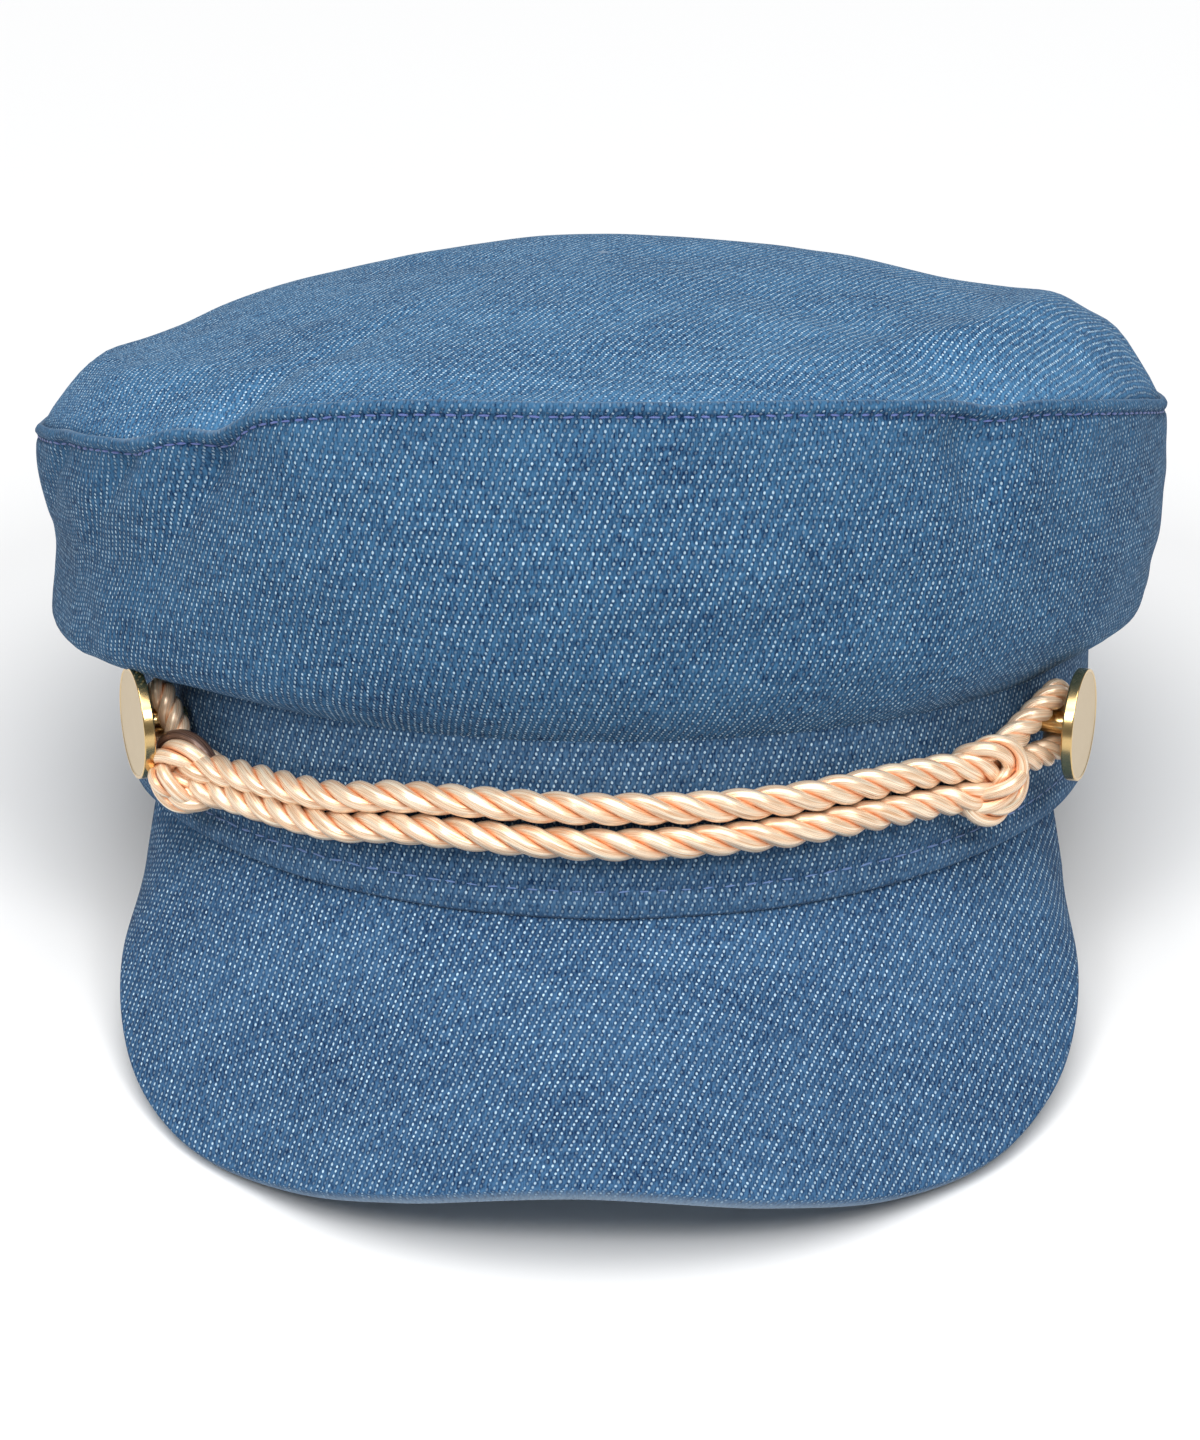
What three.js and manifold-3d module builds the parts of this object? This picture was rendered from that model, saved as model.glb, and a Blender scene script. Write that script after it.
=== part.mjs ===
// A peaked captain hat of soft denim, with a doubled cord hooked over two flat metal buttons.
// Lengths are millimetres and angles are degrees. The brow faces -Y, the wearer's left is at +X.
import * as THREE from 'three';
import { mergeVertices } from 'three/addons/utils/BufferGeometryUtils.js';
import Module from 'manifold-3d';

const wasm = await Module();
wasm.setup();

// Sizes of the cloth: heights are measured from the plane of the band's lower rim.
const clothWall = 2.2;
const seamGap = 0.3;
const bandHalfWidth = 89.4;
const bandShift = 1.2;
const bandPress = 1.2;
const bandHalfLength = 93.3;
const bandHeight = 25.4;
const browDip = 5.2;
const crownHalfWidth = 103.4;
const crownHalfLength = 106;
const frontLipHeight = 86;
const crestHeight = 93.2;
const lipStand = 1.6;
const tuckDepth = 4.5;
const dentDepth = 4;
const ridgeHeight = 3;
const edgeRoll = 0.25;

// Sizes of the peak.
const peakWall = 3;
const peakLength = 56;
const peakSlope = 35.5;
const peakReach = 68;
const peakTurn = -2.1;
const peakInset = 1.4;

// Sizes of the cord, the knots and the buttons.
const cordThickness = 5.6;
const cordClearance = 0.6;
const cordStandoff = cordThickness / 2 + cordClearance;
const buttonClearance = 1.6;
const cordChannel = cordClearance + cordThickness + buttonClearance;
const knotTurns = 1.4;
const knotPitch = 1.04;
const knotSqueeze = 0.75;
const knotApart = 0.43;
const knotHigh = 0.88;
const knotTuck = 0.4;
const buttonRadius = 10;
const buttonThickness = 2;
const buttonRim = 0.5;
const postRadius = 2;
const hookClearance = 0.7;
const buttonHeight = 19;
const buttonHeading = 72;
const buttonLean = 2;

// Fineness of the faceted surfaces.
const bandSteps = 76;
const crownSteps = 82;
const peakSteps = 40;
const cordSides = 8;
const cordFacet = 0.65;
const cordSpans = 10;
const knotSpans = 12;
const buttonSides = 36;

// Height of the crown's lip around the head, as a share of the side panel's rise at the brow.
const lipRows = [
  { heading: -180, rise: 0.57 },
  { heading: -135, rise: 0.59 },
  { heading: -92, rise: 0.605 },
  { heading: -78, rise: 0.66 },
  { heading: -66, rise: 0.71 },
  { heading: -57, rise: 0.745 },
  { heading: -46, rise: 0.817 },
  { heading: -33, rise: 0.927 },
  { heading: -19, rise: 0.989 },
  { heading: 0, rise: 1 },
  { heading: 18, rise: 0.989 },
  { heading: 33, rise: 0.95 },
  { heading: 50, rise: 0.884 },
  { heading: 66, rise: 0.805 },
  { heading: 80, rise: 0.73 },
  { heading: 92, rise: 0.69 },
  { heading: 135, rise: 0.62 },
];

// How far the side panel has swelled out from band to lip at each share of its rise.
const swellRows = [
  { rise: 0, front: 0, right: 0, back: 0, left: 0 },
  { rise: 0.06, front: 0.32, right: 0.36, back: 0.34, left: 0.54 },
  { rise: 0.12, front: 0.54, right: 0.6, back: 0.55, left: 0.76 },
  { rise: 0.2, front: 0.73, right: 0.79, back: 0.74, left: 0.81 },
  { rise: 0.3, front: 0.86, right: 0.91, back: 0.86, left: 0.83 },
  { rise: 0.45, front: 0.96, right: 0.99, back: 0.96, left: 0.85 },
  { rise: 0.6, front: 1, right: 1.01, back: 1.01, left: 0.95 },
  { rise: 0.8, front: 1.01, right: 1.02, back: 1.02, left: 1.05 },
  { rise: 1, front: 1, right: 0.99, back: 1, left: 1.05 },
];

// How the top panel climbs from its seam to the crest, against the reach from crest to seam. The
// row before the crest keeps it round.
const domeRows = [
  { reach: -0.24, climb: 0.96 },
  { reach: 0, climb: 1 },
  { reach: 0.24, climb: 0.96 },
  { reach: 0.45, climb: 0.86 },
  { reach: 0.6, climb: 0.75 },
  { reach: 0.74, climb: 0.61 },
  { reach: 0.86, climb: 0.44 },
  { reach: 0.94, climb: 0.27 },
  { reach: 1, climb: 0 },
];

// Tucks that pull the lip down, as shares of the tuck depth, with their half widths.
const tuckRows = [
  { heading: -40, depth: 0.56, width: 3.5 },
  { heading: -52, depth: 0.26, width: 3.5 },
  { heading: 40, depth: 0.29, width: 4.5 },
];

// Dents of the side panel, as shares of the dent depth, at a share of its rise.
const dentRows = [
  { heading: -41, rise: 0.85, depth: 1, width: 7, spread: 0.22 },
  { heading: -52, rise: 0.55, depth: 0.6, width: 12, spread: 0.2 },
  { heading: 38, rise: 0.85, depth: 0.6, width: 6, spread: 0.25 },
  { heading: 128, rise: 0.7, depth: 0.7, width: 12, spread: 0.3 },
  { heading: -140, rise: 0.65, depth: 0.8, width: 14, spread: 0.3 },
];

// Soft ridges and hollows of the top panel, as shares of the ridge height.
const ridgeRows = [
  { heading: -58, reach: 0.85, height: 0.6, width: 32, spread: 0.06 },
  { heading: 56, reach: 0.84, height: 0.7, width: 30, spread: 0.06 },
  { heading: 78, reach: 0.86, height: 2.7, width: 32, spread: 0.13 },
  { heading: 82, reach: 0.95, height: 2.8, width: 26, spread: 0.05 },
  { heading: -80, reach: 0.94, height: 2.2, width: 28, spread: 0.06 },
  { heading: 90, reach: 0.5, height: 0.6, width: 45, spread: 0.28 },
  { heading: -90, reach: 0.45, height: -0.5, width: 45, spread: 0.28 },
  { heading: -88, reach: 0.7, height: -0.5, width: 30, spread: 0.18 },
  { heading: 170, reach: 0.7, height: -0.7, width: 40, spread: 0.16 },
];

// Length and slope of the peak against its share of the reach from middle to end. The row before
// the middle keeps the curve level there, so that both halves meet smoothly.
const peakRows = [
  { share: -0.2, length: 1, slope: 1.16 },
  { share: 0, length: 1, slope: 1 },
  { share: 0.2, length: 1, slope: 1.16 },
  { share: 0.4, length: 0.97, slope: 1.43 },
  { share: 0.55, length: 0.9, slope: 1.5 },
  { share: 0.7, length: 0.72, slope: 1.55 },
  { share: 0.85, length: 0.45, slope: 1.68 },
  { share: 1, length: 0.21, slope: 2.25 },
];

// Run of the doubled cord between the knots: height as a share of the band's, and half the
// distance between the two strands as a share of the cord's thickness.
const cordRows = [
  { heading: -38, height: 0.4, apart: 0.45 },
  { heading: -22, height: 0.48, apart: 0.5 },
  { heading: 0, height: 0.46, apart: 0.56 },
  { heading: 21, height: 0.485, apart: 0.5 },
  { heading: 34, height: 0.55, apart: 0.52 },
];
const buttons = [
  { side: -1, name: 'button_left', heading: -56.5, knotHeading: -50.5, knotHeight: 0.54 },
  { side: 1, name: 'button_right', heading: 55.5, knotHeading: 43.5, knotHeight: 0.52 },
];

const up = new THREE.Vector3(0, 0, 1);
const radians = THREE.MathUtils.degToRad;

// One named column of a table, read as a smooth curve. With a period the table runs on in a ring.
function readTable(rows, key, column, at, period = 0) {
  const count = rows.length;
  const spot = (index) => {
    const wrapped = period
      ? THREE.MathUtils.euclideanModulo(index, count)
      : THREE.MathUtils.clamp(index, 0, count - 1);
    const laps = period ? Math.floor(index / count) : 0;
    return { x: rows[wrapped][key] + laps * period, y: rows[wrapped][column] };
  };
  const first = rows[0][key];
  const x = period
    ? first + THREE.MathUtils.euclideanModulo(at - first, period)
    : THREE.MathUtils.clamp(at, first, rows[count - 1][key]);
  const last = period ? count - 1 : count - 2;
  let index = 0;
  while (index < last && spot(index + 1).x <= x) {
    index += 1;
  }
  const [before, start, end, after] = [-1, 0, 1, 2].map((step) => spot(index + step));
  const span = end.x - start.x;
  const startSlope = ((end.y - before.y) / (end.x - before.x)) * span;
  const endSlope = ((after.y - start.y) / (after.x - start.x)) * span;
  const t = (x - start.x) / span;
  return start.y
    + t * startSlope
    + t * t * (3 * (end.y - start.y) - 2 * startSlope - endSlope)
    + t * t * t * (2 * (start.y - end.y) + startSlope + endSlope);
}

// A soft bell, 1 at its middle.
function bell(distance, width) {
  return Math.exp(-((distance / width) ** 2));
}

function turnBetween(a, b) {
  return THREE.MathUtils.euclideanModulo(a - b + 180, 360) - 180;
}

// A point on an oval around the head, by the heading from the brow.
function ovalPoint(halfWidth, halfLength, heading, z, shift = 0) {
  const angle = radians(heading);
  return new THREE.Vector3(shift + halfWidth * Math.sin(angle), -halfLength * Math.cos(angle), z);
}

// The level unit vector that points straight out of the band at a heading.
function bandOutward(heading) {
  const angle = radians(heading);
  const x = Math.sin(angle) / bandHalfWidth;
  const y = -Math.cos(angle) / bandHalfLength;
  return new THREE.Vector3(x, y, 0).normalize();
}

function levelDirection(heading) {
  return ovalPoint(1, 1, heading, 0);
}

function bandPoint(heading, outward, z) {
  return ovalPoint(bandHalfWidth, bandHalfLength, heading, z, bandShift)
    .addScaledVector(bandOutward(heading), outward);
}

// Height of the band's lower rim, which sinks toward the brow.
function rimHeight(heading) {
  const facing = Math.max(0, Math.cos(radians(heading)));
  return -browDip * facing ** 2;
}

function lipHeight(heading) {
  const rise = readTable(lipRows, 'heading', 'rise', heading, 360);
  const tucks = tuckRows.map((row) => row.depth * bell(turnBetween(heading, row.heading), row.width));
  const pull = tuckDepth * tucks.reduce((sum, depth) => sum + depth, 0);
  return bandHeight + (frontLipHeight - bandHeight) * rise - pull;
}

// Share of the full overhang at a rise, blended between the four quarters by the heading.
function swellShare(heading, rise) {
  const angle = radians(heading);
  const weights = {
    front: Math.max(0, Math.cos(angle)) ** 2,
    back: Math.max(0, -Math.cos(angle)) ** 2,
    right: Math.max(0, Math.sin(angle)) ** 2,
    left: Math.max(0, -Math.sin(angle)) ** 2,
  };
  return Object.entries(weights)
    .reduce((sum, [side, weight]) => sum + weight * readTable(swellRows, 'rise', side, rise), 0);
}

function sidePoint(heading, rise) {
  const swell = swellShare(heading, rise);
  const base = bandHeight + seamGap;
  const z = THREE.MathUtils.lerp(base, lipHeight(heading), rise);
  const halfWidth = THREE.MathUtils.lerp(bandHalfWidth, crownHalfWidth, swell);
  const halfLength = THREE.MathUtils.lerp(bandHalfLength, crownHalfLength, swell);
  const dents = dentRows.map((row) => row.depth
    * bell(turnBetween(heading, row.heading), row.width)
    * bell(rise - row.rise, row.spread));
  const sunk = dentDepth * rise * dents.reduce((sum, depth) => sum + depth, 0);
  const shift = THREE.MathUtils.lerp(bandShift, 0, swell);
  return ovalPoint(halfWidth, halfLength, heading, z, shift)
    .addScaledVector(levelDirection(heading), -sunk);
}

// The top panel starts inside the lip, clear of the side panel down to its own underside, and
// climbs to the crest.
function topPoint(heading, reach) {
  const inset = clothWall + seamGap;
  const seamDepth = (lipStand + clothWall) / (lipHeight(heading) - bandHeight);
  const seam = sidePoint(heading, 1 - seamDepth).addScaledVector(levelDirection(heading), -inset);
  const climb = readTable(domeRows, 'reach', 'climb', reach);
  const ridges = ridgeRows.map((row) => row.height
    * bell(turnBetween(heading, row.heading), row.width)
    * bell(reach - row.reach, row.spread));
  const ridge = ridgeHeight * ridges.reduce((sum, height) => sum + height, 0);
  const seamHeight = lipHeight(heading) - lipStand;
  const fade = Math.min(1, 4 * reach) * (1 - reach ** 8);
  const z = THREE.MathUtils.lerp(seamHeight, crestHeight, climb) + ridge * fade;
  return new THREE.Vector3(seam.x * reach, seam.y * reach, z);
}

// The upper face of the peak, from its seam under the band out to its edge.
function peakPoint(heading, reach) {
  const share = Math.abs(heading - peakTurn) / peakReach;
  const length = peakLength * readTable(peakRows, 'share', 'length', share);
  const slope = radians(peakSlope * readTable(peakRows, 'share', 'slope', share));
  const root = bandPoint(heading, -peakInset, rimHeight(heading) - seamGap);
  return root
    .addScaledVector(bandOutward(heading), length * reach * Math.cos(slope))
    .addScaledVector(up, -length * reach * Math.sin(slope));
}

function bandSurfacePoint(heading, rise) {
  return bandPoint(heading, 0, THREE.MathUtils.lerp(rimHeight(heading), bandHeight, rise));
}

// The unit vector that stands off the outer face of a surface given by heading and share.
function surfaceNormal({ pointAt, facing }, heading, share) {
  const turn = 0.5;
  const step = 0.01;
  const across = pointAt(heading + turn, share).sub(pointAt(heading - turn, share));
  const along = pointAt(heading, share + step).sub(pointAt(heading, share - step));
  const normal = across.cross(along);
  return normal.lengthSq() > 0 ? normal.normalize().multiplyScalar(facing) : up.clone();
}

function evenSteps(start, end, count) {
  return Array.from({ length: count + 1 }, (_, index) => start + ((end - start) * index) / count);
}

// Headings right around the head, without the last one that would meet the first.
function fullTurn(count) {
  return evenSteps(-180, 180, count).slice(0, -1);
}

// A sheet of cloth of one wall thickness under a surface. Each heading gives one closed section:
// out along the surface, round the edge and back along the underside.
function sheetSolid(surface, { headings, shares, wall, edgeRoll, closed }) {
  const sections = headings.map((heading) => {
    const upper = shares.map((share) => surface.pointAt(heading, share));
    const lower = shares.map((share) => surface.pointAt(heading, share)
      .addScaledVector(surfaceNormal(surface, heading, share), -wall));
    const [inner, edge] = upper.slice(-2);
    const outward = edge.clone().sub(inner).normalize();
    const rolled = edge.clone().lerp(lower[lower.length - 1], 0.5).addScaledVector(outward, edgeRoll);
    return [...upper, rolled, ...lower.reverse()];
  });
  return loopSolid(sections, closed);
}

// Joins closed sections of equal length into one solid, in a ring or with a cap at each end.
function loopSolid(sections, closed) {
  const size = sections[0].length;
  const points = sections.flat();
  const triangles = [];
  const addTriangle = (a, b, c) => {
    const toB = points[b].clone().sub(points[a]);
    const toC = points[c].clone().sub(points[a]);
    if (toB.cross(toC).length() > 0) {
      triangles.push([a, b, c]);
    }
  };
  const joints = closed ? sections.length : sections.length - 1;
  for (let joint = 0; joint < joints; joint += 1) {
    const here = joint * size;
    const there = ((joint + 1) % sections.length) * size;
    for (let spot = 0; spot < size; spot += 1) {
      const next = (spot + 1) % size;
      addTriangle(here + spot, there + spot, there + next);
      addTriangle(here + spot, there + next, here + next);
    }
  }
  if (!closed) {
    const end = (sections.length - 1) * size;
    for (let spot = 0; spot < (size - 1) / 2; spot += 1) {
      const [a, b, c, d] = [spot, spot + 1, size - 2 - spot, size - 1 - spot];
      addTriangle(a, b, d);
      addTriangle(end + b, end + a, end + d);
      if (b !== c) {
        addTriangle(b, c, d);
        addTriangle(end + c, end + b, end + d);
      }
    }
  }
  const volume = triangles.reduce((sum, [a, b, c]) => (
    sum + points[a].dot(points[b].clone().cross(points[c]))), 0);
  const outward = volume < 0 ? triangles.map(([a, b, c]) => [a, c, b]) : triangles;
  const geometry = new THREE.BufferGeometry().setFromPoints(points);
  geometry.setIndex(outward.flat());
  return geometry;
}

// A round cord swept along a smooth curve through points.
function cordGeometry(points) {
  const curve = new THREE.CatmullRomCurve3(points);
  const outline = new THREE.Shape().absarc(0, 0, cordThickness / 2, 0, 2 * Math.PI);
  return new THREE.ExtrudeGeometry(outline, {
    curveSegments: cordSides / 2,
    steps: Math.ceil(curve.getLength() / (cordFacet * cordThickness)),
    extrudePath: curve,
  });
}

// Fuses overlapping solids into one.
function joined(geometries) {
  const solids = geometries.map((geometry) => {
    const bare = geometry.clone();
    bare.deleteAttribute('normal');
    bare.deleteAttribute('uv');
    const merged = mergeVertices(bare);
    return new wasm.Manifold(new wasm.Mesh({
      numProp: 3,
      vertProperties: merged.attributes.position.array,
      triVerts: Uint32Array.from(merged.index.array),
    }));
  });
  const mesh = solids.reduce((sum, solid) => sum.add(solid)).getMesh();
  const geometry = new THREE.BufferGeometry();
  geometry.setAttribute('position', new THREE.BufferAttribute(mesh.vertProperties, 3));
  geometry.setIndex([...mesh.triVerts]);
  return geometry;
}

// Where a button's post stands on the band. Its axis leans down a little, its rise leans with it
// and its back points away from the brow. The foot clears the band all round its edge.
function postFrame(button) {
  const level = levelDirection(button.side * buttonHeading);
  const lean = radians(buttonLean);
  const axis = level.clone().multiplyScalar(Math.cos(lean)).addScaledVector(up, -Math.sin(lean));
  const rise = up.clone().multiplyScalar(Math.cos(lean)).addScaledVector(level, Math.sin(lean));
  const back = levelDirection(button.side * (buttonHeading + 90));
  const skew = Math.sin(axis.angleTo(bandOutward(button.heading)));
  const foot = bandPoint(button.heading, seamGap + postRadius * skew, buttonHeight);
  return { foot, axis, rise, back };
}

// Half of the cord's turn round a post, from behind it to the top (layer 1) or bottom (layer -1).
function hookPoints(button, layer) {
  const { foot, axis, rise, back } = postFrame(button);
  const middle = foot.clone().addScaledVector(axis, cordClearance + cordThickness / 2);
  const bend = postRadius + hookClearance + cordThickness / 2;
  return evenSteps(105, 0, 4).map((angle) => middle.clone()
    .addScaledVector(rise, layer * bend * Math.cos(radians(angle)))
    .addScaledVector(back, bend * Math.sin(radians(angle))));
}

function knotCentre(button) {
  const standoff = cordStandoff + knotSqueeze * cordThickness;
  return bandPoint(button.knotHeading, standoff, button.knotHeight * bandHeight);
}

// One strand of the doubled cord, from behind one post through both knots to behind the other.
function strandPoints(layer) {
  const [left, right] = buttons;
  const [knotLeft, knotRight] = buttons.map((button) => knotCentre(button)
    .addScaledVector(up, layer * knotApart * cordThickness));
  const start = cordRows[0].heading;
  const end = cordRows[cordRows.length - 1].heading;
  const run = evenSteps(start, end, cordSpans).map((heading) => {
    const height = bandHeight * readTable(cordRows, 'heading', 'height', heading);
    const apart = cordThickness * readTable(cordRows, 'heading', 'apart', heading);
    return bandPoint(heading, cordStandoff, height + layer * apart);
  });
  return [
    ...hookPoints(left, layer),
    knotLeft,
    ...run,
    knotRight,
    ...hookPoints(right, layer).reverse(),
  ];
}

// The cord's own end wound round both strands. Its first and last points are tucked in.
function knotPoints(button) {
  const centre = knotCentre(button);
  const outward = bandOutward(button.knotHeading);
  const along = outward.clone().cross(up).multiplyScalar(button.side);
  const turns = evenSteps(-knotTurns / 2, knotTurns / 2, knotSpans);
  return turns.map((turn, index) => {
    const girth = index === 0 || index === knotSpans ? knotTuck : 1;
    const angle = 2 * Math.PI * turn;
    return centre.clone()
      .addScaledVector(along, knotPitch * cordThickness * turn)
      .addScaledVector(outward, girth * knotSqueeze * cordThickness * Math.cos(angle))
      .addScaledVector(up, girth * knotHigh * cordThickness * Math.sin(angle));
  });
}

function buttonGeometry(button) {
  const { foot, axis } = postFrame(button);
  const face = cordChannel + buttonThickness;
  const profile = [
    [0, 0],
    [postRadius, 0],
    [postRadius, cordChannel],
    [buttonRadius - buttonRim, cordChannel],
    [buttonRadius, cordChannel + buttonRim],
    [buttonRadius, face - buttonRim],
    [buttonRadius - buttonRim, face],
    [0, face],
  ].map(([radius, height]) => new THREE.Vector2(radius, height));
  const turnToAxis = new THREE.Quaternion().setFromUnitVectors(new THREE.Vector3(0, 1, 0), axis);
  return new THREE.LatheGeometry(profile, buttonSides)
    .applyQuaternion(turnToAxis)
    .translate(...foot);
}

const geometries = {
  top_panel: sheetSolid({ pointAt: topPoint, facing: -1 }, {
    headings: fullTurn(crownSteps),
    shares: [0, 0.25, 0.45, 0.62, 0.76, 0.86, 0.94, 1],
    wall: clothWall,
    edgeRoll: 0,
    closed: true,
  }),
  crown_side: sheetSolid({ pointAt: sidePoint, facing: 1 }, {
    headings: fullTurn(crownSteps),
    shares: [0, 0.06, 0.14, 0.26, 0.42, 0.6, 0.78, 0.92, 1],
    wall: clothWall,
    edgeRoll: edgeRoll * clothWall,
    closed: true,
  }),
  head_band: sheetSolid({ pointAt: bandSurfacePoint, facing: 1 }, {
    headings: fullTurn(bandSteps),
    shares: [0, 0.5, 1],
    wall: clothWall,
    edgeRoll: 0,
    closed: true,
  }),
  peak: sheetSolid({ pointAt: peakPoint, facing: -1 }, {
    headings: evenSteps(peakTurn - peakReach, peakTurn + peakReach, peakSteps),
    shares: evenSteps(0, 1, 5),
    wall: peakWall,
    edgeRoll: edgeRoll * peakWall,
    closed: false,
  }),
  rope: joined([
    ...[1, -1].map((layer) => cordGeometry(strandPoints(layer))),
    ...buttons.map((button) => cordGeometry(knotPoints(button))),
  ]),
};
for (const button of buttons) {
  geometries[button.name] = buttonGeometry(button);
}

function vertices(geometry) {
  const positions = geometry.attributes.position;
  return Array.from({ length: positions.count }, (_, index) => (
    new THREE.Vector3().fromBufferAttribute(positions, index)));
}

// The hat rests on the rear of its band and on the peak, so it tilts until the peak's lowest edge
// meets the floor. The floor flattens the soft rim of the band at the rear.
const restTilt = Math.max(...vertices(geometries.peak).map((point) => {
  const reach = bandHalfLength - point.y;
  return Math.atan2(-point.z, reach) + Math.asin(bandPress / Math.hypot(point.z, reach));
}));
const bounds = new THREE.Box3();
for (const geometry of Object.values(geometries)) {
  geometry.rotateX(-restTilt);
  geometry.computeBoundingBox();
  bounds.union(geometry.boundingBox);
}
const middle = bounds.getCenter(new THREE.Vector3());
for (const geometry of Object.values(geometries)) {
  geometry.translate(-middle.x, -middle.y, -bounds.min.z - bandPress);
  const positions = geometry.attributes.position;
  for (let index = 0; index < positions.count; index += 1) {
    positions.setZ(index, Math.max(0, positions.getZ(index)));
  }
  geometry.computeVertexNormals();
}

const finishes = {
  top_panel: { color: '#62839f', roughness: 0.92, metalness: 0 },
  crown_side: { color: '#537395', roughness: 0.92, metalness: 0 },
  head_band: { color: '#4e6885', roughness: 0.92, metalness: 0 },
  peak: { color: '#577597', roughness: 0.92, metalness: 0 },
  rope: { color: '#f0c9a0', roughness: 0.35, metalness: 0 },
  button_left: { color: '#cdbea5', roughness: 0.35, metalness: 1 },
  button_right: { color: '#cdbea5', roughness: 0.35, metalness: 1 },
};

const hat = new THREE.Group();
hat.name = 'captain_hat';
for (const [name, geometry] of Object.entries(geometries)) {
  const mesh = new THREE.Mesh(geometry, new THREE.MeshStandardMaterial(finishes[name]));
  mesh.name = name;
  hat.add(mesh);
}

export default hat;
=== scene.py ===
# %% [markdown]
# # A denim captain hat with a doubled satin cord
#
# This lesson dresses a hat whose sizes are already fixed. The frame holds its seven plain solids in
# metres. Each soft solid gets a finer piece in the same place: four cloth panels, a twisted cord and
# the rows of stitches. The two metal buttons get rounded edges. Nothing moves on a hat, so every
# piece rides on the one body, called root.

# %% The frame
import math

import bmesh
import bpy
import numpy as np
from mathutils import Matrix, Vector


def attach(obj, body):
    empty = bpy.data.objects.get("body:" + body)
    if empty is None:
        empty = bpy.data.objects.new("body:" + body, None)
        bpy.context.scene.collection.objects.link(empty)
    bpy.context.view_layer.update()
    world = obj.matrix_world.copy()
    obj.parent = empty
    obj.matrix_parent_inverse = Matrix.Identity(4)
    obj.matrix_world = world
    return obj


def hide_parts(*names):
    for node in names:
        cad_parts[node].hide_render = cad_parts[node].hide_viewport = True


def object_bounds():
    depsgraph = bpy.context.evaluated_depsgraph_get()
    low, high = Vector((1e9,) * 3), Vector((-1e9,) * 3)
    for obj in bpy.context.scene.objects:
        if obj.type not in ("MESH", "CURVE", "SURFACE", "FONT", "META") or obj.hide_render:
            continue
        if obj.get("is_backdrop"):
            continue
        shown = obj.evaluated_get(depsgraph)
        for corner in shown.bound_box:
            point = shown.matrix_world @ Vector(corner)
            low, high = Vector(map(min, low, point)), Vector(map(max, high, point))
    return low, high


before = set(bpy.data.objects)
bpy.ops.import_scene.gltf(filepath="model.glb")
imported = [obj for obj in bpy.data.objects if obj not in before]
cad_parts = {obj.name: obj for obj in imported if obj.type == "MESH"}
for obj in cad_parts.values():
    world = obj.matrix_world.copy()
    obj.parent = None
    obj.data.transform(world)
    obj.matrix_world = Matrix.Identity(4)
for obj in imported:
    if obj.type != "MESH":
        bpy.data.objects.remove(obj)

cad_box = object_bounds()
print("frame", [round(side, 4) for corner in cad_box for side in corner])

# %% [markdown]
# ## Sizes
#
# The hat is described the way a hatter would: round the head by a heading in degrees from the brow,
# and up the cloth by a share from 0 to 1. Lengths are millimetres above the band's lower rim. They
# are the solids' own sizes, so each fine panel lies on its solid. The tables hold shares of the
# named sizes, one row for each place that was judged.

# %% Sizes of the cloth
MM = 0.001
cloth_wall = 2.2
seam_gap = 0.3
band_half_width = 89.4
band_shift = 1.2
band_half_length = 93.3
band_height = 25.4
brow_dip = 5.2
crown_half_width = 103.4
crown_half_length = 106.0
front_lip_height = 86.0
crest_height = 93.2
lip_stand = 1.6
tuck_depth = 4.5
dent_depth = 4.0
ridge_height = 3.0
peak_wall = 3.0
peak_length = 56.0
peak_slope = 35.5
peak_reach = 68.0
peak_turn = -2.1
peak_inset = 1.4

# How the hat rests: leaned back onto the rear of its band until the peak meets the floor.
rest_lean = math.radians(14.1985)
rest_place = np.array([0.2835, 12.6058, 21.6848])


def table(names, *rows):
    """Rows of numbers under named columns."""
    return [dict(zip(names.split(), row)) for row in rows]


lip_rows = table(
    "heading rise",
    (-180, 0.57), (-135, 0.59), (-92, 0.605), (-78, 0.66), (-66, 0.71), (-57, 0.745), (-46, 0.817),
    (-33, 0.927), (-19, 0.989), (0, 1), (18, 0.989), (33, 0.95), (50, 0.884), (66, 0.805), (80, 0.73),
    (92, 0.69), (135, 0.62),
)
swell_rows = table(
    "rise front right back left",
    (0, 0, 0, 0, 0),
    (0.06, 0.32, 0.36, 0.34, 0.54),
    (0.12, 0.54, 0.6, 0.55, 0.76),
    (0.2, 0.73, 0.79, 0.74, 0.81),
    (0.3, 0.86, 0.91, 0.86, 0.83),
    (0.45, 0.96, 0.99, 0.96, 0.85),
    (0.6, 1, 1.01, 1.01, 0.95),
    (0.8, 1.01, 1.02, 1.02, 1.05),
    (1, 1, 0.99, 1, 1.05),
)
dome_rows = table(
    "reach climb",
    (-0.24, 0.96), (0, 1), (0.24, 0.96), (0.45, 0.86), (0.6, 0.75), (0.74, 0.61), (0.86, 0.44),
    (0.94, 0.27), (1, 0),
)
tuck_rows = table(
    "heading depth width",
    (-40, 0.56, 3.5), (-52, 0.26, 3.5), (40, 0.29, 4.5),
)
dent_rows = table(
    "heading rise depth width spread",
    (-41, 0.85, 1, 7, 0.22),
    (-52, 0.55, 0.6, 12, 0.2),
    (38, 0.85, 0.6, 6, 0.25),
    (128, 0.7, 0.7, 12, 0.3),
    (-140, 0.65, 0.8, 14, 0.3),
)
ridge_rows = table(
    "heading reach height width spread",
    (-58, 0.85, 0.6, 32, 0.06),
    (56, 0.84, 0.7, 30, 0.06),
    (78, 0.86, 2.7, 32, 0.13),
    (82, 0.95, 2.8, 26, 0.05),
    (-80, 0.94, 2.2, 28, 0.06),
    (90, 0.5, 0.6, 45, 0.28),
    (-90, 0.45, -0.5, 45, 0.28),
    (-88, 0.7, -0.5, 30, 0.18),
    (170, 0.7, -0.7, 40, 0.16),
)
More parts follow.
